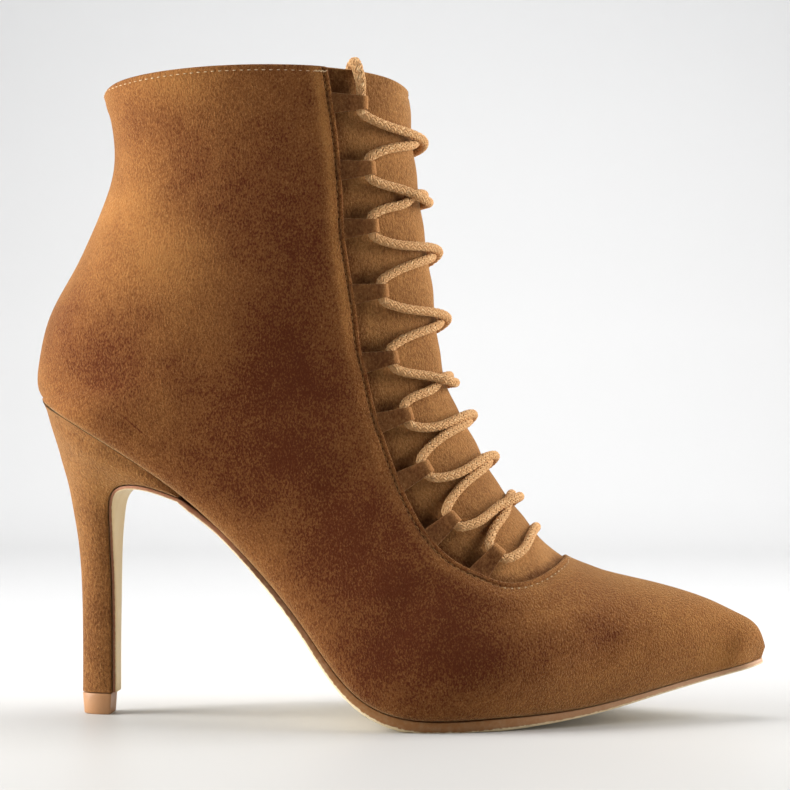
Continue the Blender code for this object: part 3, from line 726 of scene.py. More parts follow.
upperSettings = {
    "edgeSpacing": 1.5,  # rows along the throat edge
    "backRows": 16,  # where the low edge opens at the back of the heel
    "toeStep": (0.5, 1.18, 2.6),  # rows past the throat: first step, growth, widest step
    "tailRows": 26,
    "closest": 0.02,
    "nearEdge": [0.0, 0.3, 0.6, 0.9, 1.15, 1.4, 1.65, 1.95, 2.4, 3.0, 3.8, 4.8, 6.0, 7.4],
    "nearShare": 0.45,  # most of a row that the lines near the edge take up
    "columns": 44,
    "fineSteps": 360,
    "collarSteps": 1500,
    "topEdge": 150.0,  # an edge that reaches higher is that of collar and throat
    "bulge": 0.45,  # how far the folded edge rolls past the cut line
    # hem beside the throat: height of its ridge, where it rises, and where it fades out
    "hem": (0.42, (1.6, 4.8), (6.0, 13.0)),
    "stitchGroove": (1.25, 0.36, 0.36),  # distance from the throat edge, half-width, depth
    "collarGroove": (1.3, 0.45, 0.24, (1.5, 4.0)),  # the same, and where it starts beside the throat
    "collarHem": (0.22, (4.5, 8.0), (2.0, 8.0)),  # height, where it fades, and where it starts
    "collarRim": (-0.45, (1.5, 3.0)),  # darker along the cut edge, and where it fades
    "seamShade": (-0.12, -0.50),  # painted shade at the low edge, outside and underneath
    # painted highlight beside the stitches: amount, distance, half-width, share low down, heights where it
    # comes
    "hemHighlight": (0.50, 3.4, 1.9, 0.2, (95.0, 135.0)),
    "backCorner": (2.5, 12.0, 8.0),  # how far the collar dips at the back, and its reaches
    # edge lowered at the ridge, its reach, share of hem and groove left there, and where they are full
    "throatTip": (0.55, 3.2, 0.25, (3.0, 14.0)),
    # how far the low back edge is drawn in, its place and reach, and the least level part of a normal
    "heelLip": (1.2, (-106.5, 97.6), (7.0, 2.8), 0.2),
    # back of the heel evened out: the middle stays clear by a width that narrows as a round reaches further
    "settled": {"place": (-90.0, 106.0), "reach": (24.0, 13.0), "middle": (20.0, 12.0), "least": 0.3,
                "rounds": 24, "factor": 0.5},
    # spacing of a crease's points, taper of its ends, height and distance of its shoulders
    "creaseForm": (0.5, 0.8, 0.35, 2.2),
    # side, side-view places, half-width, depth: soft troughs, and ridges where the depth is minus
    "creases": [
        (lateral, [(-84.5, 95.2), (-79.0, 90.2), (-73.0, 86.0)], 0.7, 0.28),
        (lateral, [(-96, 157), (-84, 152), (-70, 151)], 3.6, 0.45),
        (lateral, [(-94, 146), (-82, 142), (-66, 143)], 3.4, -0.30),
        (lateral, [(58, 33), (50, 27), (40, 24)], 3.2, 0.45),
        (lateral, [(70, 31), (62, 24), (50, 19)], 3.0, 0.35),
        (lateral, [(-6, 86), (-16, 74), (-22, 60)], 5.0, 0.40),
        (lateral, [(18, 48), (6, 38), (-2, 26)], 5.0, 0.35),
        (medial, [(-96, 150), (-82, 146), (-68, 148)], 3.6, 0.45),
        (medial, [(60, 32), (50, 26), (38, 22)], 3.2, 0.45),
        (medial, [(-8, 84), (-17, 72), (-23, 60)], 5.0, 0.40),
    ],
    # side, place, reach, amount: brushed nap marks mixed with painted shade and painted light, dark where
    # minus
    "lightAndNapMarks": [
        (lateral, (-82, 181), (7, 4), -0.14),
        (lateral, (-84, 160), (12, 7), 0.30),
        (lateral, (-64, 197), (16, 7), 0.38),
        (lateral, (-71, 141), (15, 12), 0.42),
        (lateral, (-55, 116), (11, 14), 0.30),
        (lateral, (-50, 166), (10, 12), -0.16),
        (lateral, (-30, 150), (16, 42), -0.32),
        (lateral, (-36, 93), (26, 30), -0.44),
        (lateral, (-90, 110), (16, 13), -0.34),
        (lateral, (-110, 124), (11, 13), -0.20),
        (lateral, (9, 24), (26, 16), -0.50),
        (lateral, (36, 24), (16, 10), -0.18),
        (lateral, (-9, 55), (20, 18), -0.42),
        (lateral, (7, 42), (13, 10), -0.28),
        (lateral, (34, 38), (12, 5), -0.20),
        (lateral, (99, 19), (10, 6), 0.45),
        (lateral, (64, 30), (7, 6), -0.30),
        (lateral, (50, 36), (12, 5), 0.22),
        (lateral, (88, 30), (14, 6), 0.22),
        (medial, (-70, 170), (16, 8), -0.3),
        (medial, (-36, 120), (20, 30), -0.25),
        (medial, (-92, 120), (16, 18), 0.2),
        (medial, (24, 24), (20, 10), -0.25),
        (medial, (74, 30), (14, 6), 0.2),
    ],
    "look": {
        "deep": (0.100, 0.0205, 0.0060), "face": (0.345, 0.140, 0.0385), "tip": (0.66, 0.40, 0.150),
        "rim": (0.95, 0.70, 0.36), "patch": 42.0, "grain": 2100.0, "contrast": 0.30,
        "bump": 1.0, "depth": 0.80, "sheen": 0.5, "sheenRough": 0.40, "specular": 0.06,
        # painted shade of a thin fold over the counter: side-view ends, half-width and tone
        "line": ((-83.5, 95.6), (-73.5, 87.0), 0.24, -0.7),
    },
}


def throatEdge(side, count=2400):
    u = np.linspace(0, throatEnd, count)
    return u, skin(u, throatBend(u), side)


def upperRows():
    values = upperSettings
    u, edge = throatEdge(lateral)
    way = wayAlong(edge)
    count = int(way[-1] / values["edgeSpacing"])
    rows = list(np.interp(np.linspace(0, way[-1], count), way, u))
    share = np.linspace(0, 1, values["backRows"])
    rows += list(heelPlace + (placeOf(lastForm["backOpen"]) - heelPlace) * share ** 2)
    step, growth, widest = values["toeStep"]
    spot = throatEnd + step
    while spot < tailPlace:
        rows.append(spot)
        step = min(step * growth, widest)
        spot += step
    share = np.linspace(0, 1, values["tailRows"])
    rows += list(tailPlace + (lastKnots[-1] - tailPlace) * (1 - (1 - share) ** 2))
    rows = np.unique(np.round(rows, 6))
    keep = np.concatenate([[True], np.diff(rows) > values["closest"]])
    keep[-1] = True
    return rows[keep]


def upperGrid(side, rows):
    values = upperSettings
    near = np.array(values["nearEdge"])
    share = np.linspace(0, 1, values["columns"] + 1)[1:]
    fine = np.linspace(1, 0, values["fineSteps"])
    bends = []
    for u, top in zip(rows, throatBend(rows)):
        line = top * fine
        way = wayAlong(skin(np.full_like(line, u), line, side))
        close = near * min(1.0, values["nearShare"] * way[-1] / near[-1])
        found = np.interp(np.concatenate([close, close[-1] + (way[-1] - close[-1]) * share]), way, line)
        found[-1] = 0.0
        bends.append(found)
    bends = np.array(bends)
    places = np.repeat(rows[:, None], bends.shape[1], axis=1)
    return skin(places.ravel(), bends.ravel(), side).reshape(*bends.shape, 3)


def sideMarks(points, marks):
    total = np.zeros(len(points))
    for side, place, reach, amount in marks:
        away = ((points[:, 0] - place[0]) / reach[0]) ** 2 + ((points[:, 2] - place[1]) / reach[1]) ** 2
        total += np.where(points[:, 1] * side > 0, amount * np.exp(-away), 0)
    return total


def creaseLift(points, creases):
    total = np.zeros(len(points))
    spacing, taper, shoulder, shoulderAway = upperSettings["creaseForm"]
    for side, places, width, depth in creases:
        line = smoothPoints([(x, 0.0, z) for x, z in places], spacing)
        away, nearest = distanceTo(points * (1, 0, 1), line)
        ends = np.sin(math.pi * (nearest + 0.5) / len(line)) ** taper
        shape = bell(away, width) - shoulder * bell(away - shoulderAway * width, width)
        total -= np.where(points[:, 1] * side > 0, depth * ends * shape, 0)
    return total


def makeUpper():
    values = upperSettings
    rows = upperRows()
    sheet = weldGrids([(upperGrid(side, rows), side > 0) for side in (lateral, medial)], values["settled"])
    points, normals, faces, cycles = sheet
    count = len(points)
    edge = np.concatenate([throatEdge(side)[1] for side in (lateral, medial)])
    fromThroat = distanceTo(points, edge)[0]
    bend = np.linspace(0, throatBend(0.0)[0], values["collarSteps"])
    collar = np.concatenate([skin(np.zeros_like(bend), bend, side) for side in (lateral, medial)])
    fromCollar = distanceTo(points, collar)[0]
    # hems and grooves beside the throat and the collar
    drop, reach, left, full = values["throatTip"]
    fromTip = np.linalg.norm(points - skin(throatEnd, 1.0, lateral)[0], axis=1)
    calm = left + (1 - left) * ease(fromTip, *full)
    high, rise, fade = values["hem"]
    lift = high * ease(fromThroat, *rise) * (1 - ease(fromThroat, *fade)) * calm
    spot, width, depth = values["stitchGroove"]
    lift -= depth * bell(fromThroat - spot, width) * calm
    lift -= drop * bell(fromTip, reach)
    high, fade, start = values["collarHem"]
    lift += high * (1 - ease(fromCollar, *fade)) * ease(fromThroat, *start)
    spot, width, depth, start = values["collarGroove"]
    lift -= depth * bell(fromCollar - spot, width) * ease(fromThroat, *start)
    lift += creaseLift(points, values["creases"])
    # the low back edge lies closer to the heel
    drawn, place, reach, least = values["heelLip"]
    fromLip = np.linalg.norm((points[:, [0, 2]] - place) / reach, axis=1)
    level = normals * (1, 1, 0)
    level /= np.maximum(np.linalg.norm(level, axis=1), least)[:, None]
    points -= level * (drawn * bell(fromLip, 1))[:, None]
    # the collar's edge dips a little at the back
    dip, across, downward = values["backCorner"]
    fromBack = np.linalg.norm((points - skin(0.0, 0.0, lateral)[0]) * (1, 1, 0), axis=1)
    points[:, 2] -= dip * bell(fromBack, across) * bell(fromCollar, downward)
    allPoints, allFaces, kinds = wallSheet(
        sheet, lift, lastForm["wall"], values["bulge"], lambda line: line[:, 2].max() > values["topEdge"])
    # nap patches and painted light: a painted highlight beside the stitches, painted shade along the low
    # edge, and darker on the collar's rim
    napAndPaintedLight = sideMarks(allPoints, values["lightAndNapMarks"])
    # painted highlight along the hem beside the throat stitches
    amount, spot, width, least, heights = values["hemHighlight"]
    highlight = amount * bell(fromThroat - spot, width)
    napAndPaintedLight[:count] += highlight * (least + (1 - least) * ease(points[:, 2], *heights))
    # painted shade along the low edge, on the outside and on its underside
    low = np.concatenate([cycle for cycle in cycles if points[cycle][:, 2].max() < values["topEdge"]])
    napAndPaintedLight[low] += values["seamShade"][0]
    napAndPaintedLight[low + count] = values["seamShade"][1]
    amount, fade = values["collarRim"]
    napAndPaintedLight[2 * count:] += amount * (1 - ease(distanceTo(allPoints[2 * count:], collar)[0], *fade))
    material = suedeMaterial("upperSuede", values["look"])
    piece = newPiece("upperShell", allPoints, allFaces, [material, liningMaterial])
    setKinds(piece, kinds)
    setNumber(piece, "napAndPaintedLight", napAndPaintedLight)
    dress(piece, "upper_suede", "upper")
    return BVHTree.FromPolygons((points + normals * lift[:, None]).tolist(), faces), edge, collar


upperTree, throatLine, collarLine = makeUpper()


# Tongue

tongueSettings = {
    "thickness": 1.8,
    "underlap": 1 / 6,  # of the bend between the widest line and the throat edge
    "past": 5.0,  # past the end of the throat
    "rows": 170,
    "columns": 30,
    "bulge": 0.5,
    "pillow": 0.55,  # swell between two crossings of the lace
    "pillowReach": 5.0,
    "pillowWidth": 0.35,  # less than 1 is longer across
    "pocket": (0.9, 3.0, -4.6, 2.6),  # depth and reach, and how far up and in from a loop's root
    # painted shade in the pockets above the loops
    "pocketShade": -0.60,
    "edgeShade": (-0.34, 2.6, 5.0),  # painted shade under the throat edge: amount, start, end
    "topCorner": (2.3, 11.0, 6.0),  # how far the top edge dips on the ridge, and its reaches
    "raised": (1.05, 8.0),  # under the end of the throat
    "hemGroove": (3.1, 0.5, 0.22),  # distance from the top edge, half-width, depth
    "brimSteps": 400,
    "look": {
        "deep": (0.110, 0.037, 0.011), "face": (0.425, 0.196, 0.063), "tip": (0.64, 0.40, 0.165),
        "rim": (0.86, 0.64, 0.36), "patch": 60.0, "grain": 1600.0, "contrast": 0.2,
        "bump": 0.8, "depth": 0.65, "sheen": 0.5, "sheenRough": 0.42, "specular": 0.06,
    },
}
loopSettings = {
    "ways": [0.050, 0.147, 0.231, 0.326, 0.425, 0.514, 0.604, 0.696, 0.782],
    "width": 6.5,
    "endWidth": 4.8,  # of the solid loop, where the lace leaves it
    "shownEnd": 4.2,  # width of the end as it shows
    "strip": 1.0,
    "skinned": 0.7,  # thickness of the strip as it shows
    "tones": (-0.22, 0.38),  # painted shade on the tab, and a painted highlight on the fold round the lace
    "toneTurn": (0.86, 1.08),  # shares of the reach between which the tone turns
    "reach": 9.0,
    "hump": (0.5, 0.5),  # share of the reach, height
    "eyeGaps": 1.6,  # gaps round the lace in the solid loop
    "laceGap": 0.12,  # the same as it shows
    "foldTurn": (-90, 110, 9),  # degrees round the lace, points
    "foldGap": 0.15,  # between the strip's two layers
    "slope": (0.62, 1.5, 0.3, 0.6),  # shares of the reach and heights of the fold's way back
    "chord": 0.212,  # share of the throat's half-width that gives a loop its slant
    "hidden": 2.0,  # length under the throat edge
    "laceDiameter": 2.8,
    "foldSpacing": 0.5,
    "widthSteps": 6,
    "bevel": (0.3, 2, 50.0),  # width, segments, least angle
    "look": {
        "deep": (0.105, 0.036, 0.012), "face": (0.30, 0.127, 0.041), "tip": (0.60, 0.36, 0.150),
        "rim": (0.80, 0.58, 0.32), "patch": 120.0, "grain": 1600.0, "contrast": 0.25,
        "bump": 0.8, "depth": 0.5, "sheen": 0.4, "sheenRough": 0.45, "specular": 0.06,
    },
}


def loopPlaces():
    u, edge = throatEdge(lateral, 200)
    way = wayAlong(edge)
    return np.interp(np.array(loopSettings["ways"]) * way[-1], way, u)


def edgeRun(u, side):
    # way down the throat edge
    before, after = (Vector(skin(v, throatBend(v), side)[0]) for v in (u - 0.5, u + 0.5))
    return (after - before).normalized()


def edgeFrame(u, side):
    # throat edge at u: point, way across a loop, way along it, outward normal
    top = throatBend(u)
    point = Vector(skin(u, top, side)[0])
    inward = Vector(skin(u, top + loopSettings["chord"] * (1 - top), side)[0]) - point
    inward.normalize()
    down = edgeRun(u, side)
    down = (down - inward * down.dot(inward)).normalized()
    normal = down.cross(inward).normalized() * -side
    return point, down, inward, normal


def makeTongue():
    values = tongueSettings
    rows = np.linspace(0, throatEnd + values["past"], values["rows"])
    top = throatBend(rows)
    under = top - (top - 0.5) * values["underlap"]
    steps = np.linspace(0, 1, values["columns"] + 1)
    grids = []
    for side in (lateral, medial):
        columns = [skin(rows, under + (1 - under) * step, side) for step in steps]
        grids.append((np.stack(columns, axis=1), side < 0))
    points, normals, faces, cycles = weldGrids(grids)
    points = points - normals * (lastForm["wall"] + lastForm["gap"])
    # swells on the ridge beside each row of loops, where no strand crosses
    lift = np.zeros(len(points))
    for spot in skin(loopPlaces(), 1.0, lateral):
        away = np.linalg.norm((points - spot) * (1, values["pillowWidth"], 1), axis=1)
        lift += values["pillow"] * bell(away, values["pillowReach"])
    high, reach = values["raised"]
    lift += high * bell(np.linalg.norm(points - skin(throatEnd, 1.0, lateral)[0], axis=1), reach)
    # pockets dented above the loops, where the edge stands off, and darkened below with painted shade
    pocket = np.zeros(len(points))
    depth, reach, upward, inset = values["pocket"]
    for u in loopPlaces():
        for side in (lateral, medial):
            point, _, inward, _ = edgeFrame(u, side)
            spot = np.array(point + edgeRun(u, side) * upward + inward * inset)
            pocket = np.maximum(pocket, bell(np.linalg.norm(points - spot, axis=1), reach))
    lift -= depth * pocket
    spot, width, depth = values["hemGroove"]
    bend = np.linspace(0.5, 1, values["brimSteps"])
    brim = skin(np.zeros_like(bend), bend, lateral)
    brim = np.concatenate([brim, brim * (1, -1, 1)])
    fromBrim = distanceTo(points, brim)[0]
    lift -= depth * bell(fromBrim - spot, width)
    dip, across, downward = values["topCorner"]
    points[:, 2] -= dip * bell(points[:, 1], across) * bell(fromBrim, downward)
    sheet = (points, normals, faces, cycles)
    allPoints, allFaces, kinds = wallSheet(
        sheet, lift, values["thickness"], values["bulge"], lambda line: True, steps=6)
    material = suedeMaterial("tongueSuede", values["look"])
    piece = newPiece("tongueFlap", allPoints, allFaces, [material, liningMaterial])
    setKinds(piece, kinds)
    napAndPaintedLight = np.zeros(len(allPoints))
    # painted shade under the throat edge
    amount, start, end = values["edgeShade"]
    shade = amount * (1 - ease(distanceTo(points, throatLine)[0], start, end))
    # painted shade: the darker of the pockets' and the throat edge's
    napAndPaintedLight[:len(points)] = np.minimum(values["pocketShade"] * pocket, shade)
    setNumber(piece, "napAndPaintedLight", napAndPaintedLight)
    dress(piece, "upper_suede", "tongue")
    return BVHTree.FromPolygons((points + normals * lift[:, None]).tolist(), faces)


tongueTree = makeTongue()
print("tongue made")


# Lace loops

eyeGap = loopSettings["eyeGaps"] * lastForm["gap"]
eyeRadius = loopSettings["laceDiameter"] / 2 + eyeGap + loopSettings["strip"] / 2
stripHeight = lastForm["gap"] + loopSettings["strip"] / 2 - lastForm["wall"] - lastForm["gap"]
laceHeight = stripHeight + eyeRadius


def loopFold():
    # fold of a loop, as reach from the edge and height over the outer surface
    values = loopSettings
    root = lastForm["gap"] + values["strip"] / 2
    end = root - values["hidden"]
    back = stripHeight + values["strip"] + values["foldGap"]
    reach = values["reach"]
    humpShare, hump = values["hump"]
    path = [(end, stripHeight), (root, stripHeight), (reach * humpShare, stripHeight + hump)]
    tight = values["laceDiameter"] / 2 + values["laceGap"] + values["skinned"] / 2
    for angle in np.radians(np.linspace(*values["foldTurn"])):
        path.append((reach + tight * math.cos(angle), laceHeight + tight * math.sin(angle)))
    farShare, farHeight, nearShare, nearHeight = values["slope"]
    path += [(reach * farShare, back + farHeight), (reach * nearShare, back + nearHeight)]
    path += [(root, back), (end, back)]
    return smoothPoints([(x, 0, z) for x, z in path], values["foldSpacing"])[:, [0, 2]]


def makeLoop(name, node, u, side, material):
    values = loopSettings
    point, down, inward, normal = edgeFrame(u, side)
    along = edgeRun(u, side)
    fold = loopFold()
    points = []
    for half in np.linspace(-0.5, 0.5, values["widthSteps"] + 1):
        for reach, height in fold:
            share = min(max(reach / values["reach"], 0), 1)
            width = values["width"] + (values["shownEnd"] - values["width"]) * share
            across = along.lerp(down, share) * width * half
            points.append(point + inward * reach + normal * height + across)
    count = len(fold)
    faces = []
    for i in range(values["widthSteps"]):
        for j in range(count - 1):
            corners = [i * count + j, i * count + j + 1, (i + 1) * count + j + 1, (i + 1) * count + j]
            faces.append(corners[::-1] if side < 0 else corners)
    piece = newPiece(name, points, faces, [material])
    # painted shade on the flat tab, painted highlight on the fold round the lace
    tone = np.interp(fold[:, 0] / values["reach"], values["toneTurn"], values["tones"])
    setNumber(piece, "napAndPaintedLight", np.tile(tone, values["widthSteps"] + 1))
    wall = piece.modifiers.new("wall", "SOLIDIFY")
    wall.thickness = values["skinned"] * mm
    wall.offset = 0
    wall.use_even_offset = True
    edge = piece.modifiers.new("edge", "BEVEL")
    width, edge.segments, angle = values["bevel"]
    edge.width = width * mm
    edge.limit_method = "ANGLE"
    edge.angle_limit = math.radians(angle)
    settle(piece)
    dress(piece, "loop_suede", node)


def settle(piece):
    # modifiers applied, so that the piece is a plain mesh
    graph = bpy.context.evaluated_depsgraph_get()
    mesh = bpy.data.meshes.new_from_object(piece.evaluated_get(graph))
    piece.modifiers.clear()
    piece.data = mesh
    mesh.name = piece.name
    mesh.shade_smooth()


loopSuede = suedeMaterial("loopSuede", loopSettings["look"])
for number, u in enumerate(loopPlaces(), 1):
    for sideName, side in sideNames.items():
        makeLoop(f"loop_{sideName}_{number}", f"lace_loop_{sideName}_{number}", u, side, loopSuede)
print("lace loops made")


# Lace

laceSettings = {
    "eyeRun": 0.2,
    "rest": 0.15,  # gap to the tongue
    "endShare": 0.78,  # place of an end on the tongue's top edge
    "endGap": 0.6,  # past the top loop
    "endClear": 0.75,  # gap to the tongue's top edge
    "brinkDrop": 0.5,
    "lipRise": 0.7,
    "insideGap": 0.8,
    "endHang": (-3.0, 0.0, -26.0),  # from the top edge down inside
    "hangShare": 0.55,
    # where each pair of strands crosses: share of the half-width, and of the way to the next loops
    "crossingShift": [-0.05, -0.35, 0.10, 0.06, -0.35, 0.10, 0.0, -0.28],
    "crossingWay": [0.54, 0.50, 0.47, 0.47, 0.50, 0.45, 0.47, 0.53],
    "turnIn": 2.0,
    "turnDown": 1.5,
    "turnDrop": 0.4,
    "bendShare": 0.22,
    "bendShift": 0.6,
    "bendSpan": 0.08,
    "bendLift": 0.25,
    "squash": 0.84,  # of the diameter, between two strands that cross
    "barWay": 0.26,
    "barShare": 0.3,
    "strands": 8,  # each way round
    "pitch": 10.0,
    "stepsPerTurn": 16,
    "coreSides": 6,
    "strandWidth": 0.86,
    "strandThickness": 0.30,
    # the braid's crests stand past the nominal diameter: way from the start, and how far
    "full": ([0.0], [1.08]),
    "fullEnd": ([3.5, 8.0], [1.08, 1.30]),
    "weave": 0.10,
    "tones": (0.35, 0.24, 0.12),  # of a strand, more for every second, and more for one way round
    "look": {
        "warm": (0.42, 0.198, 0.072), "pale": (0.60, 0.350, 0.152), "fleck": (0.78, 0.54, 0.29),
        "fleckScale": 900.0, "yarnScale": 4200.0, "bump": 0.35, "depth": 0.15, "rough": 0.78, "specular": 0.2,
        "sheen": 0.25, "sheenRough": 0.5, "rim": (0.78, 0.54, 0.29),
    },
}


def overTongue(u, share, height, nearby=0.02):
    # a point over the tongue: share of the throat's half-width, height over its face
    side = -1 if share < 0 else 1

    def spot(v, part):
        return Vector(skin(v, 1 - (1 - throatBend(v)) * part, side)[0])

    here = spot(u, abs(share))
    down = spot(u + 1, abs(share)) - here
    inward = here - spot(u, abs(share) + nearby)
    if share == 0:
        inward = Vector((0, -side, 0))
    normal = down.cross(inward).normalized() * -side
    return here + normal * (height - lastForm["wall"] - lastForm["gap"])


def eyeFrame(u, side):
    # middle of a loop's eye, way along it, way inward, outward normal
    point, down, inward, normal = edgeFrame(u, side)
    return point + inward * loopSettings["reach"] + normal * laceHeight, down, inward, normal


def laceRoute(places):
    values = laceSettings
    diameter = loopSettings["laceDiameter"]
    low = diameter / 2 + values["rest"]
    over = low + diameter * values["squash"]

    def eye(k, side, travel):
        middle, down, inward, normal = eyeFrame(places[k], side)
        reach = down * (loopSettings["endWidth"] / 2 + values["eyeRun"]) * travel
        turn = down * values["turnDown"] * travel
        aside = inward * values["turnIn"] - normal * values["turnDrop"]
        return [middle - reach - turn + aside, middle - reach, middle, middle + reach,
                middle + reach + turn + aside]

    def leg(upper, startSide, headingDown):
        shift = values["crossingShift"][upper]
        run = places[upper + 1] - places[upper]
        middle = places[upper] + run * values["crossingWay"][upper]
        span = run * values["bendSpan"]
        lift = over if headingDown == (startSide < 0) else low
        turn = 1 if headingDown else -1
        before = startSide * values["bendShare"] + shift * values["bendShift"]
        after = -startSide * values["bendShare"] + shift * values["bendShift"]
        height = (lift + low) / 2 + values["bendLift"]
        return [overTongue(middle - turn * span, before, height),
                overTongue(middle, shift, lift),
                overTongue(middle + turn * span, after, height)]

    route = []
    side = lateral
    count = len(places)
    for k in range(count):
        route += eye(k, side, 1)
        if k < count - 1:
            route += leg(k, side, True)
            side = -side
    bar = places[-1] + (throatEnd - places[-1]) * values["barWay"]
    route += [overTongue(bar, side * values["barShare"] * turn, low) for turn in (1, 0, -1)]
    side = -side
    for k in range(count - 1, -1, -1):
        route += eye(k, side, -1)
        if k > 0:
            route += leg(k - 1, side, False)
            side = -side
    return route[2:-2]  # both ends stop in the middle of a top loop


def endRoute(places, side):
    values = laceSettings
    radius = loopSettings["laceDiameter"] / 2
    middle, down, _, _ = eyeFrame(places[0], side)
    start = middle - down * (loopSettings["endWidth"] / 2 + values["eyeRun"] + values["endGap"])
    leave = start - down * 2 * radius
    clear = radius + values["endClear"]
    thickness = tongueSettings["thickness"]
    share = side * values["endShare"]
    brink = overTongue(0.0, share, clear)
    brink.z -= values["brinkDrop"]
    lip = overTongue(0.0, share, -thickness / 2) + Vector((0, 0, clear + values["lipRise"]))
    inside = overTongue(0.0, share, -thickness - clear - values["insideGap"])
    hang = Vector(values["endHang"])
    return [middle, start, leave, brink, lip, inside, inside + hang * values["hangShare"], inside + hang]


def carriedFrames(line, first=(0.3, 0.5, 0.8)):
    # tangents and side vectors that don't twist
    tangents = unit(np.gradient(line, axis=0))
    sides = np.zeros_like(line)
    side = np.cross(tangents[0], first)
    for i, tangent in enumerate(tangents):
        side = side - tangent * side.dot(tangent)
        side /= np.linalg.norm(side)
        sides[i] = side
    return sides, np.cross(tangents, sides)


def tubeFaces(rings, sides, first=0):
    faces = []
    for i in range(rings - 1):
        for j in range(sides):
            k = (j + 1) % sides
            a, b = first + i * sides, first + (i + 1) * sides
            faces.append((a + j, a + k, b + k, b + j))
    last = first + (rings - 1) * sides
    faces.append(tuple(range(first, first + sides))[::-1])
    faces.append(tuple(range(last, last + sides)))
    return faces


def braidedCord(name, route, material, full):
    # a core, and strands both ways round that pass over two and under two
    values = laceSettings
    line = smoothPoints(route, values["pitch"] / values["stepsPerTurn"])
    size = np.interp(wayAlong(line), *full)
    radius = loopSettings["laceDiameter"] / 2 * size
    sides, ups = carriedFrames(line)

    def outward(angle):
        return np.cos(angle)[:, None] * sides + np.sin(angle)[:, None] * ups

    turn = 2 * math.pi * wayAlong(line) / values["pitch"]
    weave = values["weave"] * math.sqrt(2) * np.cos(values["strands"] * turn / 2 - math.pi / 4)
    ride = radius - values["strandThickness"] - values["weave"]
    around = values["coreSides"]
    angles = 2 * math.pi * np.arange(around) / around
    core = np.stack([outward(np.full_like(turn, angle)) for angle in angles], axis=1)
    ring = line[:, None] + core * (ride - values["weave"])[:, None, None]
    points = [ring.reshape(-1, 3)]
    faces = tubeFaces(len(line), around)
    tones = [np.zeros(len(line) * around)]
    total = len(line) * around
    base, second, oneWay = values["tones"]
    section = [(-0.5, 0.0), (0.0, 1.0), (0.5, 0.0)]  # of a strand: shares of its width and thickness
    corners = len(section)
    for lay in (1, -1):
        for strand in range(values["strands"]):
            out = outward(lay * turn + 2 * math.pi * strand / values["strands"])
            spine = line + out * (ride + lay * weave)[:, None]
            across = np.cross(out, unit(np.gradient(spine, axis=0)))
            wide = across * (values["strandWidth"] * size)[:, None]
            thick = out * values["strandThickness"]
            ring = np.stack([spine + wide * w + thick * t for w, t in section], axis=1)
            points.append(ring.reshape(-1, 3))
            faces += tubeFaces(len(line), corners, total)
            tones.append(np.full(len(line) * corners, base + second * (strand % 2) + oneWay * (lay > 0)))
            total += len(line) * corners
    piece = newPiece(name, np.concatenate(points), faces, [material])
    bm = bmesh.new()
    bm.from_mesh(piece.data)
    bmesh.ops.recalc_face_normals(bm, faces=bm.faces)
    bm.to_mesh(piece.data)
    bm.free()
    setNumber(piece, "tone", np.concatenate(tones))
    return piece, line


def laceMaterial():
    look = laceSettings["look"]
    material, make = newMaterial("laceBraid")
    coords = coordsOf(make)
    fleck = noise(make, coords, look["fleckScale"])
    yarn = noise(make, coords, look["yarnScale"])
    tone = calc(make, "ADD", attribute(make, "tone"), remap(make, yarn, *noiseSpan, -0.3, 0.3))
    color = mixColor(make, tone, look["warm"], look["pale"])
    color = mixColor(make, remap(make, fleck, 0.58, 0.70, 0, 0.7), color, look["fleck"])
    surface(make, look, color, look["rough"], yarn)
    return material


def makeLace():
    places = loopPlaces()
    material = laceMaterial()
    piece, line = braidedCord("laceCord", laceRoute(places), material, laceSettings["full"])
    dress(piece, "lace_cord", "lace")
    print("lace runs", round(wayAlong(line)[-1]), "mm through the loops")
    for sideName, side in sideNames.items():
        route = endRoute(places, side)
        piece, line = braidedCord(f"laceEnd_{sideName}", route, material, laceSettings["fullEnd"])
        dress(piece, "lace_cord", f"lace_end_{sideName}")


makeLace()
print("lace made")


# Heel, heel tip and outsole

heelSettings = {
    # back x and z, front x and z, half-width, share of the depth that is round
    "rows": [
        (-112.2, 97.0, -66.6, 69.6, 24.0, 0.52), (-110.3, 90.4, -78.2, 73.1, 22.0, 0.62),
        (-108.1, 83.0, -86.0, 72.9, 18.2, 0.74), (-107.1, 79.2, -88.3, 71.7, 16.4, 0.77),
        (-105.9, 75.0, -89.9, 69.4, 14.6, 0.80), (-104.1, 66.0, -90.9, 63.0, 11.6, 0.82),
        (-102.5, 56.0, -91.1, 55.0, 9.0, 0.82), (-101.4, 43.0, -91.0, 43.0, 6.8, 0.80),
        (-101.0, 26.0, -91.0, 26.0, 5.6, 0.80), (-101.0, 7.0, -91.0, 7.0, 5.2, 0.80),
    ],
    "fineRows": 90,
    "around": 44,
    "crowd": 1.7,  # more than 1 is closer points at the back
    "cornerRound": 0.05,  # share of the depth at the front that is eased
    "cornerCut": 0.5,
    "sharp": 48,  # degrees
    "seam": 0.18,  # gap under the upper as it shows
    # as the upper's: brushed nap marks mixed with painted shade and painted light
    "lightAndNapMarks": [
        (lateral, (-88, 71), (8, 9), 0.35), (medial, (-88, 71), (8, 9), 0.20),
        (lateral, (-99, 24), (6, 34), -0.14), (medial, (-98, 40), (6, 20), -0.12),
    ],
    "look": {
        "deep": (0.112, 0.034, 0.0105), "face": (0.335, 0.143, 0.042), "tip": (0.66, 0.41, 0.160),
        "rim": (0.86, 0.62, 0.33), "patch": 70.0, "grain": 1600.0, "contrast": 0.28,
        "bump": 1.0, "depth": 0.95, "sheen": 0.5, "sheenRough": 0.42, "specular": 0.06,
    },
}
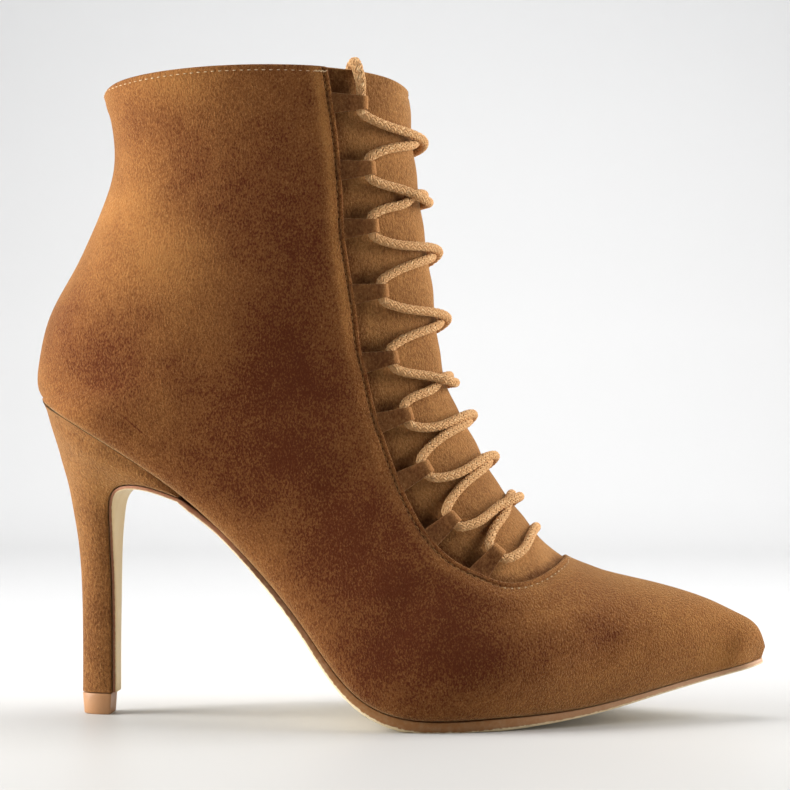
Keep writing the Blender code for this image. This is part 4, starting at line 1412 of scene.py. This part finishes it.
tipSettings = {
    "height": 6.7,
    "taper": 0.5,
    "edge": 0.35,
    "easing": 0.3,  # share of the edge
    "sharp": 50,
    "look": {
        "base": (0.43, 0.220, 0.100), "worn": (0.37, 0.180, 0.078), "mottle": 160.0, "pore": 2600.0,
        "rough": 0.42, "bump": 0.12, "depth": 0.08, "specular": 0.3,
    },
}
outsoleSettings = {
    # section, thickness, reach past the feather edge, drop at the lip
    "sheet": [
        (9.15, 1.6, 0.2, 0.9), (9.60, 1.7, 0.3, 0.0), (11.0, 2.2, 0.6, 0.0), (12.0, 3.0, 1.2, 0.0),
        (13.0, 4.2, 1.4, 0.0), (14.0, 4.0, 1.3, 0.0), (15.0, 2.6, 1.2, 0.0), (16.0, 1.9, 1.0, 0.0),
        (19.0, 1.6, 0.3, 0.0),
    ],
    "seam": 0.12,  # gap to the upper as it shows
    "toeRows": 26,
    "rows": 120,
    "sharp": 50,
    "flapThickness": 1.2,
    "flapMargin": 0.9,
    # inset and depth of the edge, as shares of the thickness
    "edge": [(0.22, 0.0), (0.05, 0.05), (0.0, 0.18), (0.0, 0.42), (0.0, 0.66), (0.08, 0.84), (0.30, 1.0)],
    "mostInset": 0.4,  # share of the half-width
    "under": (0.72, 0.4),  # shares of the width where the underside has more lines
    "look": {
        "base": (0.80, 0.66, 0.42), "worn": (0.70, 0.55, 0.33), "mottle": 50.0, "pore": 900.0,
        "rough": 0.5, "bump": 0.2, "depth": 0.1, "specular": 0.2, "raggedScale": 700.0,
        # edge paint at the toe, ball, waist and heel, and the shares of the length where it turns
        "paints": [(0.50, 0.285, 0.165), (0.30, 0.130, 0.043), (0.150, 0.062, 0.025), (0.36, 0.150, 0.075)],
        "paintTurns": [(0.04, 0.30), (0.42, 0.56), (0.60, 0.64)],
        "paintEnd": (0.72, 0.80),  # depths where the paint gives way to the cream
    },
}


def heelShares():
    return np.linspace(0, 1, heelSettings["around"]) ** heelSettings["crowd"]


def heelLoop(row, share):
    backX, backZ, frontX, frontZ, half, roundShare = row
    eased = heelSettings["cornerRound"]
    width = half * roundEnd(share, roundShare)
    cut = heelSettings["cornerCut"] * half * eased
    width = width - cut * np.clip((share - 1 + eased) / eased, 0, 1) ** 2
    return backX + (frontX - backX) * share, width, backZ + (frontZ - backZ) * share


def mirroredLoop(x, half, z):
    inner = list(zip(x, half, z))
    return inner + [(px, -py, pz) for px, py, pz in inner[:0:-1]]


def loftLoops(name, loops, materials, sharp=None, close=0.003):
    # closed loops joined in order, capped by strips across the first and the last
    bm = bmesh.new()
    rings = [[bm.verts.new(co) for co in loop] for loop in loops]
    count = len(rings[0])
    for upper, lower in zip(rings, rings[1:]):
        for i in range(count):
            j = (i + 1) % count
            bm.faces.new([upper[i], upper[j], lower[j], lower[i]])
    for ring in (rings[0], rings[-1]):
        for i in range((count - 1) // 2):
            corners = [ring[i], ring[i + 1], ring[-i - 1], ring[-i]]
            bm.faces.new(corners if i else corners[:3])
        if count % 2 == 0:
            bm.faces.new(ring[count // 2 - 1:count // 2 + 2])
    weld(bm, close)
    bmesh.ops.recalc_face_normals(bm, faces=bm.faces)
    if bm.calc_volume(signed=True) < 0:
        bmesh.ops.reverse_faces(bm, faces=bm.faces)
    points = np.array([v.co for v in bm.verts])
    faces = [[v.index for v in f.verts] for f in bm.faces]
    bm.free()
    return newPiece(name, points, faces, materials, sharp), points


def fineHeelRows():
    table = np.array(heelSettings["rows"])
    way = wayAlong(table[:, :4])
    return splineThrough(way, table, np.linspace(0, way[-1], heelSettings["fineRows"]))


def makeHeel():
    share = heelShares()
    places = heelPlace + (seatPlace - heelPlace) * share
    points, down = featherLine(places)
    seat = points + down * heelSettings["seam"]
    half = featherHalf(places, medial)
    loops = [mirroredLoop(seat[:, 0], half, seat[:, 1])]
    loops += [mirroredLoop(*heelLoop(row, share)) for row in fineHeelRows()]
    material = suedeMaterial("heelSuede", heelSettings["look"])
    piece, points = loftLoops("heelCover", loops, [material], heelSettings["sharp"])
    setNumber(piece, "napAndPaintedLight", sideMarks(points, heelSettings["lightAndNapMarks"]))
    dress(piece, "heel_suede", "heel")


def makeHeelTip():
    values = tipSettings
    share = heelShares()
    top = np.array(mirroredLoop(*heelLoop(heelSettings["rows"][-1], share)))
    middle = top.mean(axis=0)
    reach = np.linalg.norm(top[:, :2] - middle[:2], axis=1)[:, None]
    loops = []
    height, taper, edge = values["height"], values["taper"], values["edge"]
    eased = edge * values["easing"]
    rows = [(height, edge), (height - eased, eased), (height - edge, 0.0),
            (edge, taper * 0.95), (eased, taper + eased), (0.0, taper + edge)]
    for z, inset in rows:
        loop = top.copy()
        loop[:, :2] = middle[:2] + (top[:, :2] - middle[:2]) * (1 - inset / reach)
        loop[:, 2] = z
        loops.append(loop.tolist())
    material = grainMaterial("tipPlastic", values["look"])
    piece, _ = loftLoops("heelTipCap", loops, [material], values["sharp"])
    dress(piece, "tip_plastic", "heel_tip")


def outsoleMaterial():
    look = outsoleSettings["look"]
    material, make = newMaterial("outsoleSheet")
    along = attribute(make, "along")
    grain = grainNodes(make, look)
    ragged = noise(make, coordsOf(make), look["raggedScale"], detail=3.0)
    paint = look["paints"][0]
    for turn, tone in zip(look["paintTurns"], look["paints"][1:]):
        paint = mixColor(make, remap(make, along, *turn), paint, tone)
    paint = mixColor(make, remap(make, ragged, 0.4, 0.8, 0, 0.12), paint, look["base"])
    depth = calc(make, "ADD", attribute(make, "depth"), remap(make, ragged, *noiseSpan, -0.06, 0.06))
    color = mixColor(make, remap(make, depth, *look["paintEnd"]), paint, grain["Color"])
    surface(make, look, color, grain["Roughness"], grain["Height"])
    return material


def soleLoop(top, normal, thickness, out, inn):
    edge = outsoleSettings["edge"]
    loop, depths = [], []

    def add(y, depth):
        spot = top + normal * thickness * depth
        loop.append((spot[0], y, max(spot[1], 0.0)))
        depths.append(depth)

    middle = (out + inn) / 2
    most, under = outsoleSettings["mostInset"], outsoleSettings["under"]
    for inset, depth in edge:
        add(inn - min(inset * thickness, most * (inn - middle)), depth)
    for share in under:
        add(middle + (inn - middle) * share, 1.0)
    for share in under[::-1]:
        add(middle + (out - middle) * share, 1.0)
    for inset, depth in edge[::-1]:
        add(out + min(inset * thickness, most * (middle - out)), depth)
    return loop, depths


def makeOutsole():
    values = outsoleSettings
    table = np.array(values["sheet"])
    at = placeOf(table[:, 0])
    share = np.linspace(0, 1, values["toeRows"])
    places = np.concatenate([lastKnots[-1] - (lastKnots[-1] - tailPlace) * share ** 2,
                             np.linspace(tailPlace, at[0], values["rows"])[1:]])
    points, down = featherLine(places)
    thickness, reach, drop = (np.interp(places, at, column) for column in table[:, 1:].T)
    swing = shapeAt(places)["swing"]
    tops = points + down * (values["seam"] + drop)[:, None]
    outs = swing - featherHalf(places, lateral) - reach
    inns = swing + featherHalf(places, medial) + reach
    rows = fineHeelRows()
    line = rows[:, 2:4]
    run = unit(np.gradient(line, axis=0))
    forward = np.stack([-run[:, 1], run[:, 0]], axis=1)
    half = rows[:, 4] - values["flapMargin"]
    tops = np.concatenate([tops, line + forward * lastForm["gap"]])
    normals = np.concatenate([down, forward])
    thickness = np.concatenate([thickness, np.full(len(rows), values["flapThickness"])])
    outs, inns = np.concatenate([outs, -half]), np.concatenate([inns, half])
    way = wayAlong(tops)
    way /= way[-1]
    loops, depths, along = [], [], []
    for i in range(len(tops)):
        loop, depth = soleLoop(tops[i], normals[i], thickness[i], outs[i], inns[i])
        loops.append(loop)
        depths += depth
        along += [way[i]] * len(loop)
    piece, welded = loftLoops("outsoleSheet", loops, [outsoleMaterial()], values["sharp"])
    flat = np.array([co for loop in loops for co in loop])
    nearest = distanceTo(welded, flat)[1]
    setNumber(piece, "depth", np.array(depths)[nearest])
    setNumber(piece, "along", np.array(along)[nearest])
    dress(piece, "outsole_sheet", "outsole")


makeHeel()
makeHeelTip()
makeOutsole()
print("heel and outsole made")


# Insole

insoleSettings = {
    "thickness": 2.2,
    "edge": 0.7,
    "edgeShare": 0.3,  # most of the width that the edge takes up
    "stations": 120,
    "crowd": 0.12,  # closer stations at both ends
    "ends": (2, 3),  # walls left free at the heel and the toe
    "leastHalf": 0.2,
    "sharp": 60,
    "look": {
        "base": (0.58, 0.43, 0.27), "worn": (0.47, 0.33, 0.19), "mottle": 45.0, "pore": 1100.0,
        "rough": 0.5, "bump": 0.2, "depth": 0.15, "specular": 0.35,
    },
}


def makeInsole():
    values = insoleSettings
    wall = lastForm["wall"]
    share = np.linspace(0, 1, values["stations"])
    eased = share + values["crowd"] * np.sin(2 * math.pi * (share - 0.5)) / 2
    places = heelPlace + (lastKnots[-1] - heelPlace) * eased
    x = shapeAt(places)["lowX"]
    behind, before = values["ends"]
    places = places[(x > heelStart + behind * wall) & (x < lowTip - before * wall)]
    points, down = featherLine(places)
    swing = shapeAt(places)["swing"]
    inset, least = wall + lastForm["gap"], values["leastHalf"]
    out = swing - np.maximum(featherHalf(places, lateral) - inset, least)
    inn = swing + np.maximum(featherHalf(places, medial) - inset, least)
    loops = []
    for i in range(len(places)):
        low, face = points[i], points[i] - down[i] * values["thickness"]
        brim = points[i] - down[i] * (values["thickness"] - values["edge"])
        edge = min(values["edge"], values["edgeShare"] * (inn[i] - out[i]))
        loops.append([(low[0], out[i], low[1]), (low[0], inn[i], low[1]), (brim[0], inn[i], brim[1]),
                      (face[0], inn[i] - edge, face[1]), (face[0], out[i] + edge, face[1]),
                      (brim[0], out[i], brim[1])])
    material = grainMaterial("insoleSock", values["look"])
    piece, _ = loftLoops("insoleSock", loops, [material], values["sharp"])
    dress(piece, "insole_board", "insole")


makeInsole()
print("insole made")


# Stitches

stitchSettings = {
    # row: stitch length, spacing, thickness, distance from the edge, height over the face
    "throat": {"length": 1.45, "spacing": 2.1, "thickness": 0.33, "inset": 1.25, "height": 0.06},
    # dark grains sunk at the throat stitches: painted shade of the needle holes
    "throatHoleShades": {"length": 0.65, "spacing": 2.1, "thickness": 0.38, "inset": 1.25, "height": -0.05},
    "throatEnd": {"length": 0.75, "spacing": 2.1, "thickness": 0.42, "inset": 1.7, "height": 0.07},
    "endShare": 0.94,  # share of a side's throat edge above the paler stitches; the brown thread above them is partly painted shade of the groove
    "collar": {"length": 1.2, "spacing": 2.25, "thickness": 0.32, "inset": 1.3, "height": 0.03},
    "collarSink": (0.14, (-52.0, -22.0)),  # how deep the row sinks to the front, and where
    "tongue": {"length": 1.1, "spacing": 2.4, "thickness": 0.26, "inset": 3.1, "height": -0.04},
    # as a row, with how many stitches and their slant, the place on the throat, and how far in
    # it starts and heads
    "tack": {"length": 1.5, "spacing": 0.55, "thickness": 0.30, "height": 0.05, "count": 7, "slant": 0.4,
             "place": 2.2, "inset": 0.004, "heading": 0.05},
    "uneven": 0.1,
    "brimSteps": 300,
    "brimStart": 0.01,  # of the bend, in from the throat edge
    "ridge": (300, 12),  # steps of the ridge down the throat, and how many a stitch looks back
    "threadBrown": {"base": (0.24, 0.100, 0.034), "worn": (0.42, 0.22, 0.085)},
    "threadCream": {"base": (0.50, 0.32, 0.155), "worn": (0.78, 0.62, 0.40)},
    # painted shade of the needle holes
    "needleHoleShade": {"base": (0.050, 0.017, 0.006), "worn": (0.085, 0.030, 0.010)},
    "thread": {"scale": 3800.0, "bump": 0.4, "depth": 0.1, "rough": 0.8, "specular": 0.1},
    "seed": 4,
}


def makeStitchTree():
    tree = bpy.data.node_groups.new("stitchRow", "GeometryNodeTree")
    sockets = {}
    for label, kind, value in (("Geometry", "Geometry", None), ("Length", "Float", 0.002),
                               ("Thickness", "Float", 0.0004), ("Uneven", "Float", 0.12), ("Seed", "Int", 0),
                               ("Thread", "Material", None)):
        socket = tree.interface.new_socket(label, in_out="INPUT", socket_type="NodeSocket" + kind)
        if value is not None:
            socket.default_value = value
        sockets[label] = socket.identifier
    tree.interface.new_socket("Geometry", in_out="OUTPUT", socket_type="NodeSocketGeometry")
    make = nodeMaker(tree)
    given = make("NodeGroupInput").outputs
    grain = make("GeometryNodeMeshUVSphere", {"Segments": 8, "Rings": 6, "Radius": 0.5})
    thick = given["Thickness"]
    size = make("ShaderNodeCombineXYZ", {"X": given["Length"], "Y": thick, "Z": thick})
    thread = make("GeometryNodeTransform", {"Geometry": grain.outputs["Mesh"], "Scale": size.outputs[0]})
    up = make("GeometryNodeInputNamedAttribute", {"Name": "up"}, data_type="FLOAT_VECTOR")
    run = make("GeometryNodeInputNamedAttribute", {"Name": "run"}, data_type="FLOAT_VECTOR")
    stand = make("FunctionNodeAlignRotationToVector", {"Vector": up.outputs[0]}, axis="Z")
    turn = make("FunctionNodeAlignRotationToVector",
                {"Rotation": stand.outputs[0], "Vector": run.outputs[0]}, axis="X", pivot_axis="Z")
    low, high = (calc(make, way, 1.0, given["Uneven"]) for way in ("SUBTRACT", "ADD"))
    uneven = make("FunctionNodeRandomValue", {2: low, 3: high, "Seed": given["Seed"]}, data_type="FLOAT")
    spots = make("GeometryNodeMeshToPoints", {"Mesh": given["Geometry"]})
    sewn = make("GeometryNodeInstanceOnPoints", {
        "Points": spots.outputs[0], "Instance": thread.outputs[0], "Rotation": turn.outputs[0],
        "Scale": uneven.outputs[1]})
    real = make("GeometryNodeRealizeInstances", {"Geometry": sewn.outputs[0]})
    finished = make("GeometryNodeSetMaterial", {"Geometry": real.outputs[0], "Material": given["Thread"]})
    make("NodeGroupOutput", {"Geometry": finished.outputs[0]})
    return tree, sockets


stitchTree, stitchSockets = makeStitchTree()


def threadMaterial(name):
    tones, look = stitchSettings[name], stitchSettings["thread"]
    material, make = newMaterial(name)
    ply = noise(make, coordsOf(make), look["scale"])
    color = mixColor(make, remap(make, ply, 0.35, 0.7), tones["base"], tones["worn"])
    surface(make, look, color, look["rough"], ply)
    return material


def sew(name, spots, ups, runs, row, material):
    piece = newPiece(name, spots, [], [material])
    for label, vectors in (("up", ups), ("run", runs)):
        layer = piece.data.attributes.new(label, "FLOAT_VECTOR", "POINT")
        layer.data.foreach_set("vector", np.asarray(vectors, np.float32).ravel())
    sewing = piece.modifiers.new("stitches", "NODES")
    sewing.node_group = stitchTree
    given = {"Length": row["length"] * mm, "Thickness": row["thickness"] * mm,
             "Uneven": stitchSettings["uneven"], "Seed": stitchSettings["seed"], "Thread": material}
    for label, value in given.items():
        sewing[stitchSockets[label]] = value
    settle(piece)
    dress(piece, "upper_suede")


def onSurface(tree, spots, runs, height):
    # spots moved onto a surface, with its normals
    found = [tree.find_nearest(Vector(s)) for s in spots]
    ups = np.array([f[1] for f in found])
    places = np.array([f[0] for f in found]) + ups * height
    return places, ups, unit(runs - ups * (runs * ups).sum(axis=1)[:, None])


def edgeRow(tree, edge, row, away, shift=0.5, reach=0.4):
    # stitch places beside an edge; away gives the way from the edge into the sheet
    way = wayAlong(edge)
    at = np.arange(row["spacing"] * shift, way[-1], row["spacing"])
    spots = alongLine(edge, way, at)
    runs = alongLine(edge, way, at + reach) - alongLine(edge, way, at - reach)
    ups = np.array([tree.find_nearest(Vector(s))[1] for s in spots])
    inward = unit(np.cross(runs, ups))
    inward *= np.sign((inward * away(spots)).sum(axis=1))[:, None]
    return onSurface(tree, spots + inward * row["inset"], runs, row["height"])


def fromRidge(spots):
    # ways to the spots from the ridge level with them, which lead into the upper
    steps, back = stitchSettings["ridge"]
    ridge = skin(np.linspace(0, throatEnd, steps), 1.0, lateral)
    nearest = distanceTo(spots * (1, 0, 1), ridge * (1, 0, 1))[1]
    return spots - ridge[np.maximum(nearest - back, 0)]


def straightDown(spots):
    return np.broadcast_to((0, 0, -1.0), spots.shape)


def makeStitches():
    values = stitchSettings
    brown, cream, holeShade = (threadMaterial(name) for name in ("threadBrown", "threadCream", "needleHoleShade"))
    half = len(throatLine) // 2
    stop = int(half * values["endShare"])
    edges = throatLine[:half], throatLine[half:]
    end = np.concatenate([edges[0][stop:], edges[1][stop:][::-1]])
    rows = [("throatEndStitches", "throatEnd", end, cream, 0.5)]
    # brown thread up the throat and cream at its end: the darker thread is partly painted shade of the stitch
    # groove
    for sideName, line in zip(sideNames, edges):
        rows.append((f"throatStitches_{sideName}", "throat", line[2:stop], brown, 0.5))
        # painted shade of the needle holes beside the throat stitches
        rows.append((f"throatHoleShades_{sideName}", "throatHoleShades", line[2:stop], holeShade, 0.0))
    for name, key, line, material, shift in rows:
        sew(name, *edgeRow(upperTree, line, values[key], fromRidge, shift), values[key], material)
    half = len(collarLine) // 2
    edge = np.concatenate([collarLine[:half][::-1], collarLine[half:]])
    spots, ups, runs = edgeRow(upperTree, edge[2:-2], values["collar"], straightDown)
    depth, start = values["collarSink"]
    spots = spots - ups * depth * ease(spots[:, 0], *start)[:, None]
    sew("collarStitches", spots, ups, runs, values["collar"], cream)
    bend = np.linspace(throatBend(0.0)[0] + values["brimStart"], 1, values["brimSteps"])
    level = np.zeros_like(bend)
    brim = np.concatenate([skin(level, bend, lateral), skin(level, bend[::-1], medial)])
    sew("tongueStitches", *edgeRow(tongueTree, brim, values["tongue"], straightDown), values["tongue"], brown)
    makeTacks(cream)


def makeTacks(material):
    # short zigzags of thread that hold the top corners of the throat
    row = stitchSettings["tack"]
    u = row["place"]
    down = np.array([0, 0, -1.0])
    for sideName, side in sideNames.items():
        start, ahead = (skin(u, throatBend(u) - inset, side)[0] for inset in (row["inset"], row["heading"]))
        back = ahead - start
        back /= np.linalg.norm(back)
        spots = np.array([start + back * (k * row["spacing"]) for k in range(row["count"])])
        runs = np.array([back + down * row["slant"] * (-1) ** k for k in range(row["count"])])
        spots, ups, runs = onSurface(upperTree, spots, runs, row["height"])
        sew(f"throatTack_{sideName}", spots, ups, runs, row, material)


makeStitches()
print("stitches sewn")
